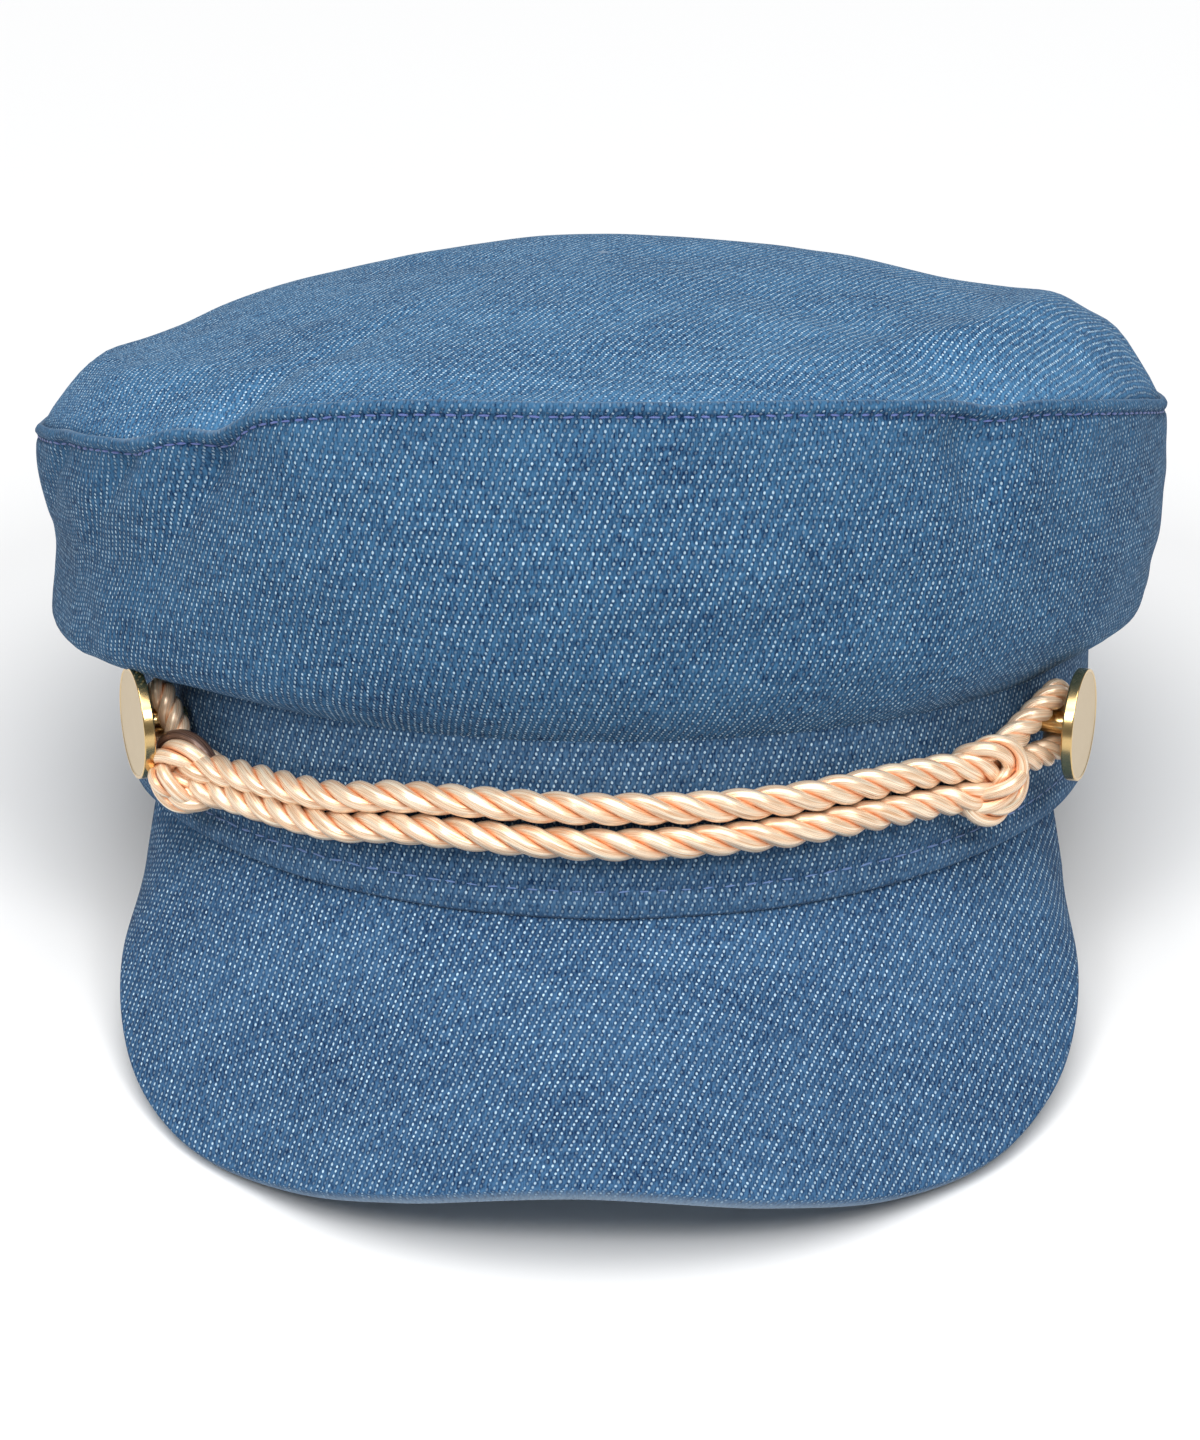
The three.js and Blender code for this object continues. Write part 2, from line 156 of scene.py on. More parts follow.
peak_rows = table(
    "share length slope",
    (-0.2, 1, 1.16), (0, 1, 1), (0.2, 1, 1.16), (0.4, 0.97, 1.43), (0.55, 0.9, 1.5),
    (0.7, 0.72, 1.55), (0.85, 0.45, 1.68), (1, 0.21, 2.25),
)
print("crown", 2 * crown_half_width, "mm wide, band", 2 * band_half_width, "mm wide")

# %% [markdown]
# ## Smooth curves from tables
#
# A table with ten rows becomes a smooth curve when it is read with Hermite pieces, which pass
# through every row without corners. All helpers work on whole arrays, so a panel of fifty thousand
# points is worked out in a blink.


# %% Reading tables and making soft shapes
noise_cells = 64


def read_table(rows, key, column, at, period=0):
    """One column of a table as a smooth curve. With a period the table runs on in a ring."""
    x = np.array([row[key] for row in rows], float)
    y = np.array([row[column] for row in rows], float)
    if period:
        x = np.concatenate([x[-1:] - period, x, x[:2] + period])
        y = np.concatenate([y[-1:], y, y[:2]])
        at = x[1] + np.mod(at - x[1], period)
    else:
        x = np.concatenate([x[:1], x, x[-1:]])
        y = np.concatenate([y[:1], y, y[-1:]])
        at = np.clip(at, x[1], x[-2])
    start = np.clip(np.searchsorted(x, at, side="right") - 1, 1, len(x) - 3)
    span = x[start + 1] - x[start]
    slope = (y[start + 1] - y[start - 1]) / (x[start + 1] - x[start - 1]) * span
    end_slope = (y[start + 2] - y[start]) / (x[start + 2] - x[start]) * span
    t = (at - x[start]) / span
    rise = y[start + 1] - y[start]
    return y[start] + t * slope + t**2 * (3 * rise - 2 * slope - end_slope) + t**3 * (
        slope + end_slope - 2 * rise)


def bell(distance, width):
    """1 at no distance, falling smoothly toward 0 past the width."""
    return np.exp(-((distance / width) ** 2))


def turn_between(a, b):
    """The turn from b to a in degrees, between -180 and 180."""
    return np.mod(a - b + 180, 360) - 180


def lerp(a, b, share):
    return a + (b - a) * share


def unit(vectors):
    return vectors / np.maximum(np.linalg.norm(vectors, axis=-1, keepdims=True), 1e-12)


def soft_noise(across, along, seed, wrap):
    """Smooth random heights between -1 and 1. The pattern meets itself after wrap cells across."""
    heights = np.random.default_rng(seed).uniform(-1, 1, (wrap, noise_cells))
    column, row = np.floor(across).astype(int), np.floor(along).astype(int)
    x, y = across - column, along - row
    x, y = x * x * (3 - 2 * x), y * y * (3 - 2 * y)
    corner = lambda right, up: heights[(column + right) % wrap, (row + up) % noise_cells]
    return lerp(lerp(corner(0, 0), corner(1, 0), x), lerp(corner(0, 1), corner(1, 1), x), y)


def ring_noise(heading, degrees, along, seed):
    """Noise round the head whose cells are so many degrees wide."""
    return soft_noise(heading / degrees, along, seed, round(360 / degrees))


def plan_noise(points, cell, shift, seed):
    """Noise laid over the hat as seen from above, with cells of a size in millimetres."""
    return soft_noise(points[..., 0] / cell + shift[0], points[..., 1] / cell + shift[1], seed, noise_cells)


def to_frame(points):
    """Points of the hat in millimetres, set down on the floor of the frame, in metres."""
    x, y, z = np.moveaxis(points, -1, 0)
    leaned = np.stack([
        x,
        y * math.cos(rest_lean) + z * math.sin(rest_lean),
        z * math.cos(rest_lean) - y * math.sin(rest_lean),
    ], -1) + rest_place
    leaned[..., 2] = np.maximum(leaned[..., 2], 0)
    return leaned * MM


# %% [markdown]
# ## The faces of the cloth
#
# Each panel is one face given by heading and share: the band, the side panel that swells out over
# it, the round top inside the lip, and the peak under the brow. These are the same rules as the
# solids follow, so no piece needs fitting.


# %% The four faces
# How far to each side a normal is measured: a turn in degrees and a step up the cloth.
normal_turn = 0.25
normal_step = 0.004


def level_direction(heading):
    """The level direction that faces a heading."""
    angle = np.radians(heading)
    return np.stack([np.sin(angle), -np.cos(angle), np.zeros_like(angle)], -1)


def band_outward(heading):
    """The direction that stands straight off the oval band."""
    return unit(level_direction(heading) / np.array([band_half_width, band_half_length, 1.0]))


def oval_point(half_width, half_length, heading, z, shift):
    angle = np.radians(heading)
    return np.stack([shift + half_width * np.sin(angle), -half_length * np.cos(angle), z + 0 * angle], -1)


def band_point(heading, outward, z):
    ring = oval_point(band_half_width, band_half_length, heading, z, band_shift)
    return ring + band_outward(heading) * np.asarray(outward)[..., None]


def rim_height(heading):
    """The band's lower rim, which dips at the brow."""
    return -brow_dip * np.maximum(0, np.cos(np.radians(heading))) ** 2


def lip_height(heading):
    """The top of the side panel, high at the brow and pulled down at each tuck."""
    rise = read_table(lip_rows, "heading", "rise", heading, 360)
    pull = sum(row["depth"] * bell(turn_between(heading, row["heading"]), row["width"]) for row in tuck_rows)
    return band_height + (front_lip_height - band_height) * rise - tuck_depth * pull


def swell_share(heading, rise):
    """How far the side panel has swelled out, from 0 at the band to 1 at the crown's full width."""
    angle = np.radians(heading)
    weights = {
        "front": np.maximum(0, np.cos(angle)) ** 2,
        "back": np.maximum(0, -np.cos(angle)) ** 2,
        "right": np.maximum(0, np.sin(angle)) ** 2,
        "left": np.maximum(0, -np.sin(angle)) ** 2,
    }
    return sum(weight * read_table(swell_rows, "rise", side, rise) for side, weight in weights.items())


def side_point(heading, rise):
    swell = swell_share(heading, rise)
    z = lerp(band_height + seam_gap, lip_height(heading), rise)
    half_width = lerp(band_half_width, crown_half_width, swell)
    half_length = lerp(band_half_length, crown_half_length, swell)
    dents = sum(
        row["depth"] * bell(turn_between(heading, row["heading"]), row["width"])
        * bell(rise - row["rise"], row["spread"]) for row in dent_rows)
    sunk = dent_depth * rise * dents
    ring = oval_point(half_width, half_length, heading, z, lerp(band_shift, 0, swell))
    return ring - level_direction(heading) * sunk[..., None]


def top_point(heading, reach):
    inset = cloth_wall + seam_gap
    lip = lip_height(heading)
    seam_depth = (lip_stand + cloth_wall) / (lip - band_height)
    seam = side_point(heading, 1 - seam_depth) - level_direction(heading) * inset
    climb = read_table(dome_rows, "reach", "climb", reach)
    ridges = sum(
        row["height"] * bell(turn_between(heading, row["heading"]), row["width"])
        * bell(reach - row["reach"], row["spread"]) for row in ridge_rows)
    fade = np.minimum(1, 4 * reach) * (1 - reach**8)
    z = lerp(lip - lip_stand, crest_height, climb) + ridge_height * ridges * fade
    return np.stack([seam[..., 0] * reach, seam[..., 1] * reach, z], -1)


def band_face_point(heading, rise):
    return band_point(heading, 0 * heading, lerp(rim_height(heading), band_height, rise))


def peak_point(heading, reach):
    share = np.abs(heading - peak_turn) / peak_reach
    length = peak_length * read_table(peak_rows, "share", "length", share) * reach
    slope = np.radians(peak_slope * read_table(peak_rows, "share", "slope", share))
    root = band_point(heading, -peak_inset + 0 * heading, rim_height(heading) - seam_gap)
    drop = np.stack([0 * heading, 0 * heading, -length * np.sin(slope)], -1)
    return root + band_outward(heading) * (length * np.cos(slope))[..., None] + drop


def face_normal(face, facing, heading, share):
    """The direction that stands off the outer face."""
    across = face(heading + normal_turn, share) - face(heading - normal_turn, share)
    along = face(heading, share + normal_step) - face(heading, share - normal_step)
    return unit(np.cross(across, along)) * facing


# %% [markdown]
# ## Pieces from points
#
# A panel has two faces and a rounded fold between them. One function takes the outer face, drops
# the inner face one cloth thickness below it and rolls the edges. Each point keeps its place on the
# flat cloth in millimetres as its UV, so the weave follows the panel as real cloth does. It also
# keeps two marks for the dye: how far it is on the inside, and one that is positive where the cloth
# is worn and negative where shade is painted into the groove of the stitches.


# %% Building a panel
def add_piece(name, points, faces, cloth=None, marks=None):
    """A smooth mesh object. Cloth holds a UV for each corner and marks a number for each point."""
    mesh = bpy.data.meshes.new(name)
    mesh.from_pydata(points.tolist(), [], faces.tolist())
    if cloth is not None:
        mesh.uv_layers.new(name="cloth").data.foreach_set("uv", cloth.astype(np.float32).ravel())
    for mark, values in (marks or {}).items():
        mesh.attributes.new(mark, "FLOAT", "POINT").data.foreach_set("value", values.astype(np.float32))
    mesh.shade_smooth()
    piece = bpy.data.objects.new(name, mesh)
    bpy.context.scene.collection.objects.link(piece)
    return piece


def close_shell(piece):
    """Fills open ends, welds poles and seams, and turns the faces out."""
    shell = bmesh.new()
    shell.from_mesh(piece.data)
    bmesh.ops.remove_doubles(shell, verts=shell.verts, dist=1e-7)
    bmesh.ops.dissolve_degenerate(shell, edges=shell.edges, dist=1e-8)
    rims = [edge for edge in shell.edges if edge.is_boundary]
    if rims:
        bmesh.ops.holes_fill(shell, edges=rims, sides=0)
    if shell.calc_volume(signed=True) < 0:
        bmesh.ops.reverse_faces(shell, faces=shell.faces)
    shell.to_mesh(piece.data)
    shell.free()


def even_wall(thickness):
    return lambda share: thickness + 0 * share


def cloth_panel(name, face, facing, headings, shares, wall, roll, flat, wear_and_shade, ring=True, hole=True, lap=0):
    """A panel of cloth. wall gives its thickness at a share and flat each point's place on the flat
    cloth. lap is how far that place moves on in one turn of a ring. A panel with a hole has a rolled
    edge at share 0 too."""
    heading, share = np.meshgrid(headings, shares, indexing="ij")
    outer = face(heading, share)
    inner = outer - face_normal(face, facing, heading, share) * wall(share)[..., None]
    place = flat(heading, share, outer)
    worn_and_shaded = wear_and_shade(heading, share)[..., None]
    outer_strip = np.concatenate([outer, place, worn_and_shaded, 0 * worn_and_shaded], -1)
    inner_strip = np.concatenate([inner, place, worn_and_shaded, 0 * worn_and_shaded + 1], -1)

    def fold(end, inward):
        tangent = unit(outer[:, end] - outer[:, inward])
        onward = unit(place[:, end] - place[:, inward])
        half = np.linalg.norm(outer[:, end] - inner[:, end], axis=-1, keepdims=True) / 2
        steps = []
        for turn in np.radians(np.arange(22.5, 180, 45)):
            step = lerp(outer_strip[:, end], inner_strip[:, end], (1 - math.cos(turn)) / 2)
            step[:, :3] += math.sin(turn) * roll * tangent
            step[:, 3:5] += turn * half * onward
            steps.append(step)
        return np.stack(steps, 1)

    strips = [outer_strip, fold(-1, -2), inner_strip[:, ::-2]]
    if hole:
        strips.append(fold(0, 1)[:, ::-1])
    section = np.concatenate(strips, 1)
    columns, size = section.shape[:2]
    column, spot = np.meshgrid(
        np.arange(columns if ring else columns - 1), np.arange(size if hole else size - 1), indexing="ij")
    corners = [(column, spot), (column + 1, spot), (column + 1, spot + 1), (column, spot + 1)]
    faces = np.stack([c % columns * size + s % size for c, s in corners], -1).reshape(-1, 4)
    laps = np.stack([c // columns for c, s in corners], -1).reshape(-1, 4)
    flat_data = section.reshape(-1, 7)
    cloth = flat_data[faces, 3:5]
    cloth[..., 0] += laps * lap
    marks = {"wear_and_shade": flat_data[:, 5], "inside": flat_data[:, 6]}
    piece = add_piece(name, to_frame(flat_data[:, :3]), faces, cloth, marks)
    close_shell(piece)
    print(name, len(piece.data.polygons), "faces")
    return piece


# %% [markdown]
# ## Stitch lines first
#
# On a real hat the thread pulls the cloth down in a fine groove and the seam allowance puffs up
# beside it. So the stitch rows are planned before the panels: how far from the edge each row runs
# and how many stitches go round. The panels then read the same plan for their grooves.

# %% Plan of the stitches
lip_stitch_drop = 2.1
lip_stitch_pitch = 2.8
hem_stitch_rise = 4.3
hem_stitch_pitch = 3.7
# How deep the groove stays at the needle's holes, as a share of its depth under the thread.
hole_depth = 0.6
round_the_head = np.linspace(-180, 180, 1441)


def run_length(points):
    """Distance along a row of points."""
    steps = np.linalg.norm(np.diff(points, axis=0), axis=1)
    return np.concatenate([[0], np.cumsum(steps)])


def lip_share(heading, drop):
    """The share of the side panel's rise at a drop below the lip."""
    return 1 - drop / (lip_height(heading) - band_height)


lip_run = run_length(side_point(round_the_head, lip_share(round_the_head, lip_stitch_drop)))
lip_stitches = round(lip_run[-1] / lip_stitch_pitch)
hem_run = run_length(band_face_point(round_the_head, 0 * round_the_head))
hem_stitches = round(hem_run[-1] / hem_stitch_pitch)
print("stitches", lip_stitches, "at the lip and", hem_stitches, "at the hem")


def stitch_groove(distance, width, heading, run, count):
    """The groove of a row of stitches: 1 under the middle of each stitch and less at its holes."""
    turn = 2 * np.pi * np.interp(heading, round_the_head, run) / run[-1] * count
    return bell(distance, width) * (hole_depth + (1 - hole_depth) * ((1 + np.cos(turn)) / 2))


# %% [markdown]
# ## The side panel
#
# The side panel swells out from the band like a loaf and carries the lip. Soft denim is never quite
# smooth, so the fine panel adds low swells, gathers over the band, creases that run down from the
# tucks, the pull of the stitches and the puff between them and the lip. A plain closed seam runs
# down the back, where the strip of cloth meets itself.


# %% The side panel
# Where the loose cloth hangs over the band, as shares of the deepest sag. It bulges out as well, by
# a share of the sag.
sag_drop = 3.0
sag_bulge = 0.6
sag_rows = table(
    "heading rise depth width spread",
    (-80, 0.12, 1, 30, 0.12), (84, 0.14, 0.5, 24, 0.12), (150, 0.12, 0.4, 30, 0.12),
)
# Creases that run down from the tucks. lean is how many degrees a crease moves back over the whole
# rise, and depth is in millimetres.
crease_rows = table(
    "heading lean depth width reach",
    (-39.5, 20, 3.4, 2.6, 0.38), (-52, 24, 3.0, 2.2, 0.3), (-66, 30, 2.4, 2.6, 0.35),
    (37, -6, 2.2, 3.2, 0.4), (46, -10, 1.5, 3.5, 0.35), (-10, 8, 0.6, 5, 0.3),
)
# The lip hangs lower at both sides, by so much round a heading behind the temples.
lip_slump = 1.4
slump_heading = 110
slump_width = 22
# Heights of the soft relief in millimetres. The gathers fade up the cloth, and the puckers lie a
# little below the lip. lip_middle is the middle of the puff, below the lip's edge.
broad_swell = 0.7
small_swell = 0.3
gather_height = 0.45
gather_reach = 0.16
pucker_height = 0.16
pucker_drop = 4
lip_puff = 0.45
lip_middle = 0.9
lip_groove = 0.6
groove_width = 0.6
# The closed seam at the back, and the length of one degree of heading there.
back_seam_depth = 0.9
back_seam_width = 1
crown_degree = 1.8
# The wall thins toward the lip, and its folded edge bulges by a share of the wall.
lip_thinning = 0.5
thinning_reach = 0.1
lip_roll = 0.3
side_columns = 928
side_steps = 49


def side_face(heading, rise):
    height = lip_height(heading) - band_height
    drop = (1 - rise) * height
    swells = broad_swell * ring_noise(heading, 12, rise * 4, seed=3)
    swells += small_swell * ring_noise(heading, 5, rise * 9, seed=4)
    gathers = gather_height * ring_noise(heading, 3, rise * 5, seed=5) * bell(rise, gather_reach)
    groove = stitch_groove(drop - lip_stitch_drop, groove_width, heading, lip_run, lip_stitches)
    puff = lip_puff * bell(drop - lip_middle, lip_middle) - lip_groove * groove
    puckers = pucker_height * ring_noise(heading, 1.5, drop / 6, seed=6)
    puckers *= bell(drop - pucker_drop, pucker_drop)
    seam = -back_seam_depth * bell(turn_between(heading, 180) * crown_degree, back_seam_width)
    fade = np.minimum(1, np.minimum(rise, 1 - rise) * 12)
    sag = sum(
        row["depth"] * bell(turn_between(heading, row["heading"]), row["width"])
        * bell(rise - row["rise"], row["spread"]) for row in sag_rows)
    creases = sum(
        row["depth"] * bell(turn_between(heading, row["heading"] - row["lean"] * (1 - rise)), row["width"])
        * bell(1 - rise, row["reach"]) for row in crease_rows)
    slump = lip_slump * bell(np.abs(turn_between(heading, 0)) - slump_heading, slump_width) * rise**6
    relief = (swells + gathers + sag_bulge * sag_drop * sag - creases) * fade + puff + puckers + seam * fade
    drop_line = np.stack([0 * relief, 0 * relief, -sag_drop * sag * fade - slump], -1)
    return side_point(heading, rise) + level_direction(heading) * relief[..., None] + drop_line


def eased(count, amount):
    """Shares from 0 to 1 that crowd toward both ends."""
    even = np.linspace(0, 1, count)
    return lerp(even, (1 - np.cos(np.pi * even)) / 2, amount)


def flat_side(heading, rise, points):
    """The side panel cut flat: round the crown by across, up the cloth by along."""
    steps = np.linalg.norm(np.diff(points, axis=1), axis=-1)
    climbed = np.concatenate([0 * steps[:, :1], np.cumsum(steps, 1)], 1)
    return np.stack([np.radians(heading) * crown_half_width, climbed], -1)


def side_wear_and_shade(heading, rise):
    """Paler where the lip rubs, and darker in the groove of the stitches as painted shade."""
    drop = (1 - rise) * (lip_height(heading) - band_height)
    rubbed = 0.5 * bell(drop - 0.2, 1) + 0.2 * bell(drop - 5, 4)
    # The negative term is painted shade in the groove of the stitches.
    return rubbed - 1.1 * bell(drop - lip_stitch_drop, groove_width)


def side_wall(rise):
    """The side panel's thickness, thinner at the lip so that the fold stays fine."""
    return cloth_wall * (1 - lip_thinning * bell(1 - rise, thinning_reach))


side_cloth = cloth_panel(
    "side_cloth", side_face, 1, np.linspace(-180, 180, side_columns, endpoint=False),
    eased(side_steps, 0.6), side_wall, lip_roll * cloth_wall, flat_side, side_wear_and_shade,
    lap=2 * np.pi * crown_half_width)

# %% [markdown]
# ## The round top
#
# The top is one disc of denim, eased into the lip so that it domes. The disc was cut flat, so its UV
# is its plan with each radius let out to the length of cloth that lies along it. Near the seam the
# fullness shows as small radial puckers.


# %% The top panel
# The edge moves out past the solid's until it meets the inner face of the lip. Behind, where the
# lip is low, its last few millimetres turn down as a seam allowance does, so that no gap shows.
top_edge_reach = 1.55
top_edge_dip = 3.4
# The edge stands up a little inside the lip, and more so at the sides.
top_edge_lift = 1.1
top_flank_lift = 0.9
top_broad_swell = 0.8
top_small_swell = 0.3
top_pucker = 0.5
top_pucker_drop = 3
top_pucker_width = 6
top_columns = 464
top_steps = 61


def top_face(heading, reach):
    base = top_point(heading, reach)
    swells = top_broad_swell * plan_noise(base, 30, (8, 8), seed=11)
    swells += top_small_swell * plan_noise(base, 12, (20, 20), seed=12)
    edge = (1 - reach) * crown_half_width
    puckers = top_pucker * ring_noise(heading, 3, edge / 9, seed=13) * bell(
        edge - top_pucker_drop, top_pucker_width)
    flank = np.sin(np.radians(heading)) ** 2
    behind = np.sin(np.radians(heading / 2)) ** 4
    lift = (swells + puckers) * np.minimum(1, (1 - reach) * 20)
    lift += (top_edge_lift + top_flank_lift * flank) * bell(edge, 5) - top_edge_dip * behind * bell(edge, 1.3)
    rise = np.stack([0 * lift, 0 * lift, lift], -1)
    return base + rise + level_direction(heading) * top_edge_reach * bell(edge, 4)[..., None]


def flat_top(heading, reach, points):
    """The disc cut flat: each point's way along the cloth from the middle."""
    steps = np.linalg.norm(np.diff(points, axis=1), axis=-1)
    radius = np.concatenate([0 * steps[:, :1], np.cumsum(steps, 1)], 1)
    return level_direction(heading)[..., :2] * radius[..., None]


def top_wear(heading, reach):
    """Paler near the seam."""
    return 0.3 * bell((1 - reach) * crown_half_width, 5)


top_cloth = cloth_panel(
    "top_cloth", top_face, -1, np.linspace(-180, 180, top_columns, endpoint=False),
    np.linspace(0, 1, top_steps), even_wall(cloth_wall), 0, flat_top, top_wear, hole=False)

# %% [markdown]
# ## The band
#
# The band is a straight strip with its lower edge turned up and stitched through. Between the
# stitches and the fold the cloth puffs a little.


# %% The band
band_swell = 0.25
hem_puff = 0.35
hem_middle = 1.9
hem_puff_width = 1.5
hem_groove = 0.35
hem_groove_width = 0.7
# The closed seam at the back, and the length of one degree of heading there.
band_seam_depth = 0.8
band_degree = 1.6
hem_roll = 0.4
columns_per_stitch = 4
band_steps = 25


def band_face(heading, rise):
    above = rise * (band_height - rim_height(heading))
    swells = band_swell * ring_noise(heading, 9, rise * 3, seed=21) * np.minimum(1, 6 * (1 - rise))
    groove = stitch_groove(above - hem_stitch_rise, hem_groove_width, heading, hem_run, hem_stitches)
    puff = hem_puff * bell(above - hem_middle, hem_puff_width) - hem_groove * groove
    seam = -band_seam_depth * bell(turn_between(heading, 180) * band_degree, back_seam_width)
    return band_face_point(heading, rise) + band_outward(heading) * (swells + puff + seam)[..., None]


def flat_band(heading, rise, points):
    """The band cut flat: a strip whose height is the band's own."""
    return np.stack([np.radians(heading) * band_half_width, points[..., 2]], -1)


def band_wear_and_shade(heading, rise):
    """Paler along the folded rim, and darker in the groove of the stitches as painted shade."""
    above = rise * band_height
    # The negative term is painted shade in the groove of the stitches.
    return 0.5 * bell(above, 1.5) - 0.7 * bell(above - hem_stitch_rise, 0.6)


band_cloth = cloth_panel(
    "band_cloth", band_face, 1, np.linspace(-180, 180, columns_per_stitch * hem_stitches, endpoint=False),
    eased(band_steps, 0.5), even_wall(cloth_wall), hem_roll * cloth_wall, flat_band, band_wear_and_shade,
    lap=2 * np.pi * band_half_width)

# %% [markdown]
# ## The peak
#
# The peak is a stiff curved board covered in denim. Its cloth was cut flat and bent round one axis
# that points forward and down, so the UV is the peak unrolled round that axis.


# %% The peak
peak_swell = 0.35
peak_roll = 0.12
peak_columns = 321
peak_steps = 49


def peak_face(heading, reach):
    base = peak_point(heading, reach)
    swells = peak_swell * plan_noise(base, 18, (8, 12), seed=31)
    lift = swells * np.minimum(1, 4 * reach)
    return base + np.stack([0 * lift, 0 * lift, lift], -1)


def flat_peak(heading, reach, points):
    """The peak unrolled round the axis that its board is bent on."""
    axis = np.array([0, -math.cos(math.radians(peak_slope)), -math.sin(math.radians(peak_slope))])
    steps = np.diff(points, axis=0)
    steps -= (steps @ axis)[..., None] * axis
    around = np.concatenate([0 * points[:1, :, 0], np.cumsum(np.linalg.norm(steps, axis=-1), 0)])
    middle = len(around) // 2
    return np.stack([around - around[middle], points @ -axis], -1)


def peak_wear(heading, reach):
    """Paler along the outer edge."""
    return 0.3 * bell((1 - reach) * peak_length, 1.2)


peak_cloth = cloth_panel(
    "peak_cloth", peak_face, -1, np.linspace(peak_turn - peak_reach, peak_turn + peak_reach, peak_columns),
    eased(peak_steps, 0.3), even_wall(peak_wall), peak_roll * peak_wall, flat_peak, peak_wear,
    ring=False)

# %% [markdown]
# ## A small language for nodes
#
# Writing node trees by hand means long lists of links. One class wraps a socket, so that a Python
# expression such as `1 - mask * 0.5` adds the Math nodes. One method adds any other node from its
# type, its settings and its inputs. The same class serves materials and Geometry Nodes.


# %% Nodes as expressions
class Wire:
    """A socket that can be used in a Python expression. Each operator adds a Math node."""

    def __init__(self, bench, socket):
        self.bench = bench
        self.socket = socket

    def maths(self, operation, *values):
        return self.bench.add("ShaderNodeMath", {"operation": operation}, dict(enumerate(values)))

    def __add__(self, other):
        return self.maths("ADD", self, other)

    __radd__ = __add__

    def __sub__(self, other):
        return self.maths("SUBTRACT", self, other)

    def __rsub__(self, other):
        return self.maths("SUBTRACT", other, self)

    def __mul__(self, other):
        return self.maths("MULTIPLY", self, other)

    __rmul__ = __mul__

    def __truediv__(self, other):
        return self.maths("DIVIDE", self, other)

    def __pow__(self, other):
        return self.maths("POWER", self, other)

    def floor(self):
        return self.maths("FLOOR", self)

    def cosine(self):
        return self.maths("COSINE", self)

    def sine(self):
        return self.maths("SINE", self)

    def clamped(self):
        return self.bench.add("ShaderNodeClamp", {}, {"Value": self})

    def other(self, output):
        """Another output of the same node."""
        return Wire(self.bench, self.socket.node.outputs[output])


class Bench:
    """A node tree that is being built."""

    def __init__(self, tree):
        self.tree = tree

    def add(self, kind, settings=None, inputs=None, output=0):
        """Adds a node: its settings come first, then the values or links of its sockets."""
        node = self.tree.nodes.new(kind)
        for name, value in (settings or {}).items():
            setattr(node, name, value)
        for name, value in (inputs or {}).items():
            if isinstance(value, Wire):
                self.tree.links.new(value.socket, node.inputs[name])
            else:
                node.inputs[name].default_value = value
        return Wire(self, node.outputs[output] if node.outputs else None)

    def vector(self, x=0, y=0, z=0):
        return self.add("ShaderNodeCombineXYZ", {}, {"X": x, "Y": y, "Z": z})

    def noise(self, vector, detail=2, roughness=0.5):
        """Smooth noise around one half."""
        values = {"Vector": vector, "Scale": 1, "Detail": detail, "Roughness": roughness}
        return self.add("ShaderNodeTexNoise", {}, values)

    def blend(self, share, first, second):
        """Two colours mixed by a share."""
        values = {"Factor": share, 6: first, 7: second}
        return self.add("ShaderNodeMix", {"data_type": "RGBA"}, values, output=2)


def dye(red, green, blue):
    """A colour as a paint chart gives it, from 0 to 255, turned into light."""
    channels = [value / 255 for value in (red, green, blue)]
    return (*[c / 12.92 if c <= 0.04045 else ((c + 0.055) / 1.055) ** 2.4 for c in channels], 1)


def new_finish(name, **constants):
    """A material with one Principled shader. Constants are set on the shader's own sockets."""
    material = bpy.data.materials.new(name)
    material.use_nodes = True
    material.node_tree.nodes.clear()
    bench = Bench(material.node_tree)
    shader = bench.add("ShaderNodeBsdfPrincipled", {}, {
        key.replace("_", " ").title().replace("Ior", "IOR"): value for key, value in constants.items()})
    bench.add("ShaderNodeOutputMaterial", {}, {"Surface": shader})
    return material, bench, shader.socket.node


def feed(bench, shader, **values):
    """Links what varies over the surface into the shader."""
    for key, wire in values.items():
        bench.tree.links.new(wire.socket, shader.inputs[key.replace("_", " ").title()])


# %% [markdown]
# ## Denim
#
# Denim is a three and one twill. Blue warp threads run up the cloth and lie over three white weft
# threads at a time, so in every row each fourth warp lets a white dot through, and each row moves
# the dots along by one warp. The dots line up as the diagonal that makes cloth look like denim.
# Uneven dye and thick places in the yarn break up the order. All of it is worked out from the
# flat place in millimetres. Rubbed places are paler, the groove of each row of stitches and a halo
# round each dot are darkened as painted shade, and the inside shows the white side.

# %% The denim finish
warp_pitch = 0.342
weft_pitch = 0.79
dot_pitch = 4 * warp_pitch
dot_half_width = 0.24
dot_half_height = 0.32
# The threads wander off their grid by so many millimetres, and each dot by a share of its cell.
wander_across = 0.7
wander_along = 0.8
dot_wander = 0.12
# The tone of plain cloth between the two dyes, the depth of the halo of painted shade round a dot,
# and how far a worn place is lifted and painted shade in a stitch groove is lowered.
plain_tone = 0.68
halo_shade_depth = 0.5
wear_and_shade_lift = 0.35
weave_relief = 0.24
# Uneven places in the yarn and the dye. across and along are the size of one patch in millimetres,
# and tone is how far it moves the colour between the deep and the pale dye.
unevenness_rows = table(
    "across along seed detail tone",
    (warp_pitch, 2.4, 3, 3, 2.2), (8, weft_pitch, 5, 2, 0.7), (22, 22, 11, 3, 0.7), (0.6, 1.1, 17, 2, 1.4),
)


